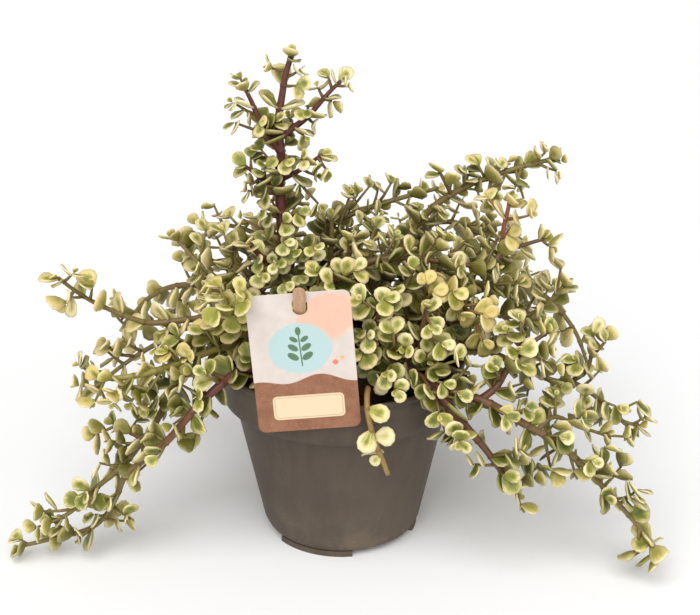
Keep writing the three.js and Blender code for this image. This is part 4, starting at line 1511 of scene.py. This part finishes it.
# bark at the foot and at the tip, how creamy and how young its leaves are, how thick its bark
# shows against the solid, and the share of its axils with a side shoot
stemLooks = {
    "leader": (wine, plum, 0.36, 0.15, 1.0, 0.9),
    "left_high": (plum, olive, 0.55, 0.4, 0.9, 0.72),
    "left_long": (bark, olive, 0.6, 0.55, 0.9, 0.12),
    "left_middle": (plum, olive, 0.62, 0.5, 0.9, 0.6),
    "left_green": (olive, straw, 0.5, 0.7, 0.95, 0.6),
    "left_trailing_inner": (wine, olive, 0.3, 0.12, 0.9, 0.6),
    "left_trailing_outer": (wine, olive, 0.3, 0.12, 0.9, 0.6),
    "front_cut": (rust, tan, 0.7, 0.4, 1.0, 0.0),
    "right_trailing": (wine, bark, 0.42, 0.2, 0.95, 0.72),
    "right_middle": (plum, olive, 0.4, 0.2, 0.9, 0.72),
    "arching_right": (bark, bark, 0.5, 0.35, 0.9, 0.85),
    "back_middle": (plum, olive, 0.5, 0.35, 0.9, 0.9),
    "right_high": (bark, olive, 0.42, 0.2, 0.9, 0.95),
    "right_back_high": (bark, olive, 0.5, 0.3, 0.9, 0.72),
    "cream": (olive, rust, 0.97, 0.85, 0.6, 0.9),
    "other": (plum, olive, 0.48, 0.3, 0.9, 0.72),
}
# limbs with their own look
limbLooks = {
    ("arching_right", 2): (rose, rose, 0.95, 0.7, 0.9, 0.8),
    ("right_trailing", 0): (wine, olive, 0.28, 0.12, 0.95, 0.7),
    ("right_trailing", 1): (wine, bark, 0.3, 0.12, 0.95, 0.7),
    ("right_trailing", 4): (bark, olive, 0.28, 0.12, 0.95, 0.7),
}


def lookOf(name, limb=None):
    return limbLooks.get((name, limb), stemLooks.get(name, stemLooks["other"]))


def leafTone(draw, look, young=0.0):
    cream = min(max(draw.gauss(look[2], 0.2), 0.03), 1)
    youth = min(max(draw.gauss(look[3], 0.18) + young, 0), 1)
    return (cream, youth, draw.random(), max(draw.gauss(0.12, 0.25), 0))


def facingOf(place, along):
    # leaves turn their faces up and away from the plant's middle
    reach = Vector((place.x, place.y, 0))
    share = smoothStep(reach.length, *crownLook["faceFrom"])
    return along * (0.7 - 0.4 * share) + up * (0.7 - 0.15 * share) + reach.normalized() * 0.6 * share


barkLook = {
    "step": 2.6,
    "apart": 0.5,
    # rings beside a pair of leaves, and how far they swell
    "rings": ((-1.0, 1.0), (-0.35, 1.16), (0.35, 1.16), (1.0, 1.0)),
    "ringShade": 0.7,
    "tipShare": 0.55,
}


def strandOf(limb, pairs, look):
    # points along a limb with a ring at each pair of leaves, their radii and their colours
    route, (footRadius, tipRadius) = limb["route"], limb["radii"]
    count = max(3, int(route.length / barkLook["step"]))
    marks = [(0.0, 1.0), (route.length, 1.0)]
    for pair in pairs:
        marks += [(pair["station"] + shift, swell) for shift, swell in barkLook["rings"]]
    marks += [(route.length * step / count, 1.0) for step in range(1, count)]
    kept = []
    for mark, swell in marks:
        inside = 0 <= mark <= route.length
        if inside and all(abs(mark - other) > barkLook["apart"] for other, _ in kept):
            kept.append((mark, swell))
    points, radii, shades = [], [], []
    foot, tip = look[:2]
    for mark, swell in sorted(kept):
        share = mark / route.length
        points.append(route.place(share))
        radii.append(blend(footRadius, tipRadius, share) * swell * look[4])
        ageing = smoothStep(share, 0.15, 0.8) if limb["main"] else 0.5 + 0.5 * share
        dark = barkLook["ringShade"] if swell > 1 else 1.0
        shades.append([blend(a, b, ageing) * dark for a, b in zip(foot[:3], tip[:3])] + [1])
    if not limb["cut"]:
        radii[-1] *= barkLook["tipShare"]
    return points, radii, shades


def growMain(number, name, stem):
    draw, extra = makeDraw(number + 1), random.Random(number + 1)
    grown = {"name": name, "leaves": [], "strands": [], "axils": [], "limbs": limbsOf(stem)}
    for index, limb in enumerate(grown["limbs"]):
        limb["look"] = look = lookOf(name, index)
        pairs = leafPairs(limb, draw)
        grown["strands"].append(strandOf(limb, pairs, look))
        for pair in pairs:
            place, along, across, over = frameAt(limb, pair["share"])
            inside = blend(*limb["radii"], pair["share"])
            for half in (0, 1):
                length = growth["leafLength"] * pair["sizes"][half] + inside
                turn = pair["turn"] + half * 180
                tryLeaf(grown["leaves"], extra, place, along, across, over, turn,
                        pair["spread"], length, leafTone(extra, look), facingOf(place, along))
            if pair["last"] and not limb["cut"]:
                addHeart(grown, extra, place, along, across, over, pair["turn"] + 90, look)
            elif not pair["last"]:
                short = name in crownLook["shortOn"]
                reach = crownLook["shortSpurs" if short else "spurLength"]
                grown["axils"].append((limb, pair, reach))
        if limb["main"] and not limb["cut"]:
            addInnerAxils(grown, limb, extra)
    addHandLeaves(grown, extra)
    return grown


def addHandLeaves(grown, draw):
    limb = grown["limbs"][0]
    for share, tip in handLeaves.get(grown["name"], ()):
        start = limb["route"].place(share)
        reach = Vector(tip) - start
        along = reach.normalized()
        across = along.orthogonal().normalized()
        tryLeaf(grown["leaves"], draw, start, along, across, along.cross(across), 0, 0,
                reach.length, leafTone(draw, limb["look"]), Vector((0, -1, 0.35)))


def addInnerAxils(grown, limb, draw):
    # old leafless wood above the rim, which still carries side shoots
    length, reached = limb["route"].length, crownLook["innerFrom"]
    while reached < limb["bare"]:
        share = reached / length
        pair = {"share": share, "turn": draw.uniform(0, 360), "nearTip": 0}
        if limb["route"].place(share).z > crownLook["innerAbove"]:
            grown["axils"].append((limb, pair, crownLook["innerLength"]))
        reached += crownLook["innerPitch"]


def addHeart(grown, draw, place, along, across, over, turn, look):
    # an open pair below the tip and the small young leaves in its middle
    for back, spread, size, step in crownLook["heart"]:
        for half in (0, 1):
            tryLeaf(grown["leaves"], draw, place - along * back, along, across, over,
                    turn + step + half * 180, spread, growth["leafLength"] * size,
                    leafTone(draw, look, 0.5 * (size < 0.6)), along + up * 0.3)


sprigLook = {
    "size": (0.82, 1.06),
    "leafSize": (0.88, 1.1),
    "openPair": (62, 80),
    "youngPair": (44, 62),
    "sidePair": (55, 75),
    "sidePairFrom": 9,
    "secondPairFrom": 17,
    "budChance": 0.7,
    "radii": [0.95, 0.75, 0.55],
    "sag": 0.04,
}


def sprigWhorls(length, draw):
    # distance from the end, turn, spread, size
    look = sprigLook
    whorls = [
        (0.6, 0, draw.uniform(*look["openPair"]), 0.95),
        (-0.6, 90, draw.uniform(*look["youngPair"]), 0.78),
    ]
    if length > look["sidePairFrom"]:
        whorls.append((length * 0.45, 90, draw.uniform(*look["sidePair"]), 1.0))
    if length > look["secondPairFrom"]:
        whorls.append((length * 0.7, 0, draw.uniform(*look["sidePair"]), 0.9))
    if draw.random() < look["budChance"]:
        whorls.append((-1.2, 0, 20, 0.36))
    return whorls


def growSprig(grown, start, end, look, draw, scale=1.0):
    # a short shoot that ends in a rosette, with a pair halfway if it is long enough
    length = (end - start).length
    along = (end - start).normalized()
    across = along.orthogonal().normalized()
    over = along.cross(across)
    first = draw.uniform(0, 90)
    facing = along + facingOf(end, along) * 0.6
    size = draw.uniform(*sprigLook["size"]) * growth["leafLength"] * scale
    if grown["name"] in crownLook["shortOn"]:
        size *= crownLook["shortSize"]
    leaves = []
    for back, turn, spread, share in sprigWhorls(length, draw):
        for half in (0, 1):
            leafSize = size * share * draw.uniform(*sprigLook["leafSize"])
            tone = leafTone(draw, look, 0.5 * (share < 0.5))
            tryLeaf(leaves, draw, end - along * back, along, across, over,
                    first + turn + half * 180, spread, leafSize, tone, facing)
        if not leaves:
            return
    grown["leaves"] += leaves
    middle = start.lerp(end, 0.5) - up * length * sprigLook["sag"]
    shade = [blend(a, b, 0.5) for a, b in zip(look[1][:3], olive[:3])] + [1]
    grown["strands"].append(([start, middle, end], sprigLook["radii"], [shade] * 3))


spurLook = {
    "sway": 30,
    "lean": (35, 70),
    "along": 0.6,
    "away": 0.42,
    "rise": 0.42,
    "riseEnds": (125, 165),
    "lift": 0.12,
}


def growSpur(grown, limb, pair, half, lengths, draw):
    start, along, across, over = frameAt(limb, pair["share"])
    turn = math.radians(pair["turn"] + half * 180 + draw.uniform(-spurLook["sway"], spurLook["sway"]))
    lean = math.radians(draw.uniform(*spurLook["lean"]))
    out = across * math.cos(turn) + over * math.sin(turn)
    away = Vector((start.x, start.y, 0)).normalized()
    rise = spurLook["rise"] * (1 - smoothStep(start.z, *spurLook["riseEnds"]))
    heading = out * math.sin(lean) + along * math.cos(lean) * spurLook["along"]
    heading += up * rise + away * spurLook["away"]
    length = draw.uniform(*lengths)
    end = start + heading.normalized() * length + up * length * spurLook["lift"]
    growSprig(grown, start, end, limb["look"], draw)


def growAll():
    plant = [growMain(number, *item) for number, item in enumerate(leafyStems.items())]
    for grown in plant:
        draw = random.Random(nodeOf(grown["name"]) + "sprigs")
        for index, share, end, *scale in sprigs.get(grown["name"], ()):
            limb = grown["limbs"][index]
            growSprig(grown, limb["route"].place(share), Vector(end), limb["look"], draw, *scale)
    for grown in plant:
        draw = random.Random(nodeOf(grown["name"]))
        for limb, pair, lengths in grown["axils"]:
            chance = limb["look"][5] * (1 - 0.6 * pair["nearTip"])
            for half in (0, 1):
                if draw.random() < chance:
                    growSpur(grown, limb, pair, half, lengths, draw)
    return plant


def skyRays():
    # straight up, and two rings of directions below it
    rays = [up.copy()]
    for tilt, count in crownLook["sky"]:
        for step in range(count):
            turn = 2 * math.pi * (step + tilt / 90) / count
            flat = Vector((math.cos(turn), math.sin(turn), 0))
            rays.append(up * math.cos(math.radians(tilt)) + flat * math.sin(math.radians(tilt)))
    return rays


def findPaintedShade(plant):
    # how much of the light each leaf loses to the leaves around it, 0 to 1, painted as shade into its
    # colour
    points, faces = [], []
    for grown in plant:
        for form, sized, _ in grown["leaves"]:
            first = len(points)
            points += [sized @ co for co in leafVerts[form]]
            faces += [[first + number for number in face] for face in leafFaces[form]]
    tree = BVHTree.FromPolygons(points, faces)
    rays = skyRays()
    for grown in plant:
        grown["depths"] = []
        for _, sized, _ in grown["leaves"]:
            face = sized.col[2].to_3d().normalized()
            start = middleOf(sized) + face * crownLook["shadowStart"]
            faced = [ray for ray in rays if ray.dot(face) > 0.1]
            hits = [tree.ray_cast(start, ray, crownLook["shadowReach"])[0] for ray in faced]
            lost = sum(hit is not None for hit in hits)
            grown["depths"].append(lost / max(len(faced), 1))


def modelStrands(name, strands):
    curve = bpy.data.curves.new(name, "CURVE")
    curve.dimensions = "3D"
    curve.bevel_depth = mm
    curve.bevel_resolution = 2
    count, shades = 0, []
    for points, radii, colours in strands:
        spline = curve.splines.new("POLY")
        spline.points.add(len(points) - 1)
        for made, point, radius in zip(spline.points, points, radii):
            made.co = (*(point * mm), 1)
            made.radius = radius
        count += len(points)
        shades += colours
    piece = bpy.data.objects.new(name, curve)
    bpy.context.scene.collection.objects.link(piece)
    chooseOnly(piece)
    bpy.ops.object.convert(target="MESH")
    piece = bpy.context.object
    ring = len(piece.data.vertices) // count
    tone = piece.data.attributes.new("barkTone", "FLOAT_COLOR", "POINT")
    tone.data.foreach_set("color", [value for shade in shades for _ in range(ring) for value in shade])
    editMode()
    selectAll()
    bpy.ops.mesh.fill_holes(sides=0)
    faceOutwards()
    objectMode()
    bpy.ops.object.shade_smooth()
    return piece


def modelLeaves(name, leaves, depths):
    columns = math.ceil(math.sqrt(len(leaves)))
    blades = []
    for index, ((form, sized, tone), depth) in enumerate(zip(leaves, depths)):
        blade = leafForms[form].copy()
        blade.data = leafForms[form].data.copy()
        blade.data.transform(Matrix.Scale(mm, 4) @ sized)
        mesh = blade.data
        mesh.attributes["leafTone"].data.foreach_set("color", tone * len(mesh.vertices))
        # each leaf's painted shade, from how much light the crown takes from it
        mesh.attributes["paintedLeafShade"].data.foreach_set("value", [depth] * len(mesh.vertices))
        flat = mesh.uv_layers["OFBake"]
        values = [0.0] * (2 * len(mesh.loops))
        flat.data.foreach_get("uv", values)
        corner = (index % columns, index // columns)
        values = [(value + corner[place % 2]) / columns for place, value in enumerate(values)]
        flat.data.foreach_set("uv", values)
        bpy.context.scene.collection.objects.link(blade)
        blades.append(blade)
    return joinAll(blades, name)


leafShades = {
    "cream": tint(238, 225, 178),
    "butter": tint(225, 202, 126),
    "pale": tint(198, 188, 98),
    "green": tint(134, 138, 54),
    "deep": tint(78, 92, 32),
    "young": tint(172, 168, 66),
    "pink": tint(216, 164, 126),
    "under": tint(190, 174, 98),
    # painted shade: what is left of red, green and blue on a leaf deep in the crown's shade
    "shadow": (0.32, 0.34, 0.18),
}


def leafMaterial():
    fixed = {
        "Roughness": 0.4,
        "Specular IOR Level": 0.42,
        "Subsurface Weight": 0.08,
        "Subsurface Scale": 0.002,
        "Subsurface Radius": (1.0, 0.9, 0.4),
    }
    material, flow, shader = newMaterial("fleshyLeaf", fixed)
    cream, youth, seed = attribute(flow, "leafTone").parts()
    pink = attribute(flow, "leafTone", 3)
    # painted shade, from how much light the leaves around take from this one
    shadow = attribute(flow, "paintedLeafShade", 2).smooth(0.1, 0.95)
    edge = attribute(flow, "leafEdge", 2)
    u, v, _ = flow.node("ShaderNodeUVMap", {"uv_map": "leafMap"}).parts()
    under = v.smooth(1.49, 1.51)
    across = v - 0.5 - under * 2
    fan = across / (u + 0.22)
    spread = {0: fan * 5 + seed * 31, 1: u * 1.5 + seed * 17, 2: seed * 9 + under * 5}
    veined = flow.node("ShaderNodeCombineXYZ", None, spread)
    streak = veined.noise(1.6, 3, 0.65)
    fine = veined.stretched(3.4, 1.6, 1).noise(2.1, 2)
    cloud = veined.stretched(0.35, 1.4, 1).noise(1.1, 1)
    # the green fans out from the root and fades in streaks towards the rim
    fromRoot = edge * u.smooth(0.0, 0.55, 0.3, 1.0)
    reach = fromRoot + (streak - 0.5) + (fine - 0.5) * 0.3 + (cloud - 0.5) * 0.4
    # the painted shade also narrows the cream margin of a shaded leaf
    limit = 0.98 - cream * (1 - shadow * 0.4) * 0.95
    away = reach - limit
    green = 1 - away.smooth(-0.36, 0.2)
    palest = 1 - away.smooth(-0.15, 0.5)
    deep = (1 - away.smooth(-0.75, -0.2)) * (1 - youth * 0.8)
    outer = (youth * 0.8 + (cloud - 0.5) * 0.9).smooth(0.0, 0.8)
    outer = outer.mix(leafShades["cream"], leafShades["butter"])
    base = (palest * 0.75).mix(outer, leafShades["pale"])
    inner = (deep * 0.85).mix(leafShades["green"], leafShades["deep"])
    inner = (youth * 0.6).mix(inner, leafShades["young"])
    base = (green * (1 - cream.smooth(0.75, 1.0) * 0.85)).mix(base, inner)
    base = (under * 0.5).mix(base, leafShades["under"])
    rim = edge.smooth(0.88, 0.98)
    base = (rim * 0.5).mix(base, leafShades["cream"])
    base = (rim * pink * 0.4).mix(base, leafShades["pink"])
    groove = (1 - abs(across).smooth(0.0, 0.14)) * (1 - u.smooth(0.45, 0.9)) * (1 - under)
    base = (groove * 0.2).mix(base, leafShades["green"])
    # painted shade: leaves in the crown's shade are darkened in their colour
    base = (shadow * 0.95).mix(base, base.stretched(*leafShades["shadow"]))
    feed(base, shader, "Base Color")
    feed(0.36 + fine * 0.14 + green * 0.05, shader, "Roughness")
    feedBump(fine * 0.4 + streak * 0.5 - groove * 0.8, shader, 0.2, 0.0006)
    return material


def stemMaterial():
    material, flow, shader = newMaterial("youngBark", {"Roughness": 0.45, "Specular IOR Level": 0.45})
    place = coordinates(flow)
    tone = attribute(flow, "barkTone")
    mottle = place.noise(420, 4)
    scars = place.cells(900).smooth(0.1, 0.3)
    feed(tone.shaded(0.5 + mottle * 0.56 + scars * 0.1), shader, "Base Color")
    feed(0.38 + mottle * 0.2, shader, "Roughness")
    feedBump(mottle + scars * 0.4, shader, 0.25, 0.0005)
    return material


plant = growAll()
findPaintedShade(plant)
leafFinish, stemFinish = leafMaterial(), stemMaterial()
leafCount = 0
for grown in plant:
    node = nodeOf(grown["name"])
    dress(modelStrands(node + "_bark", grown["strands"]), stemFinish, "leaves", node)
    leaves = modelLeaves(node + "_leaves", grown["leaves"], grown["depths"])
    dress(leaves, leafFinish, "leaves", node)
    leafCount += len(grown["leaves"])
for blade in leafForms:
    bpy.data.objects.remove(blade)
print("plant made,", leafCount, "leaves")
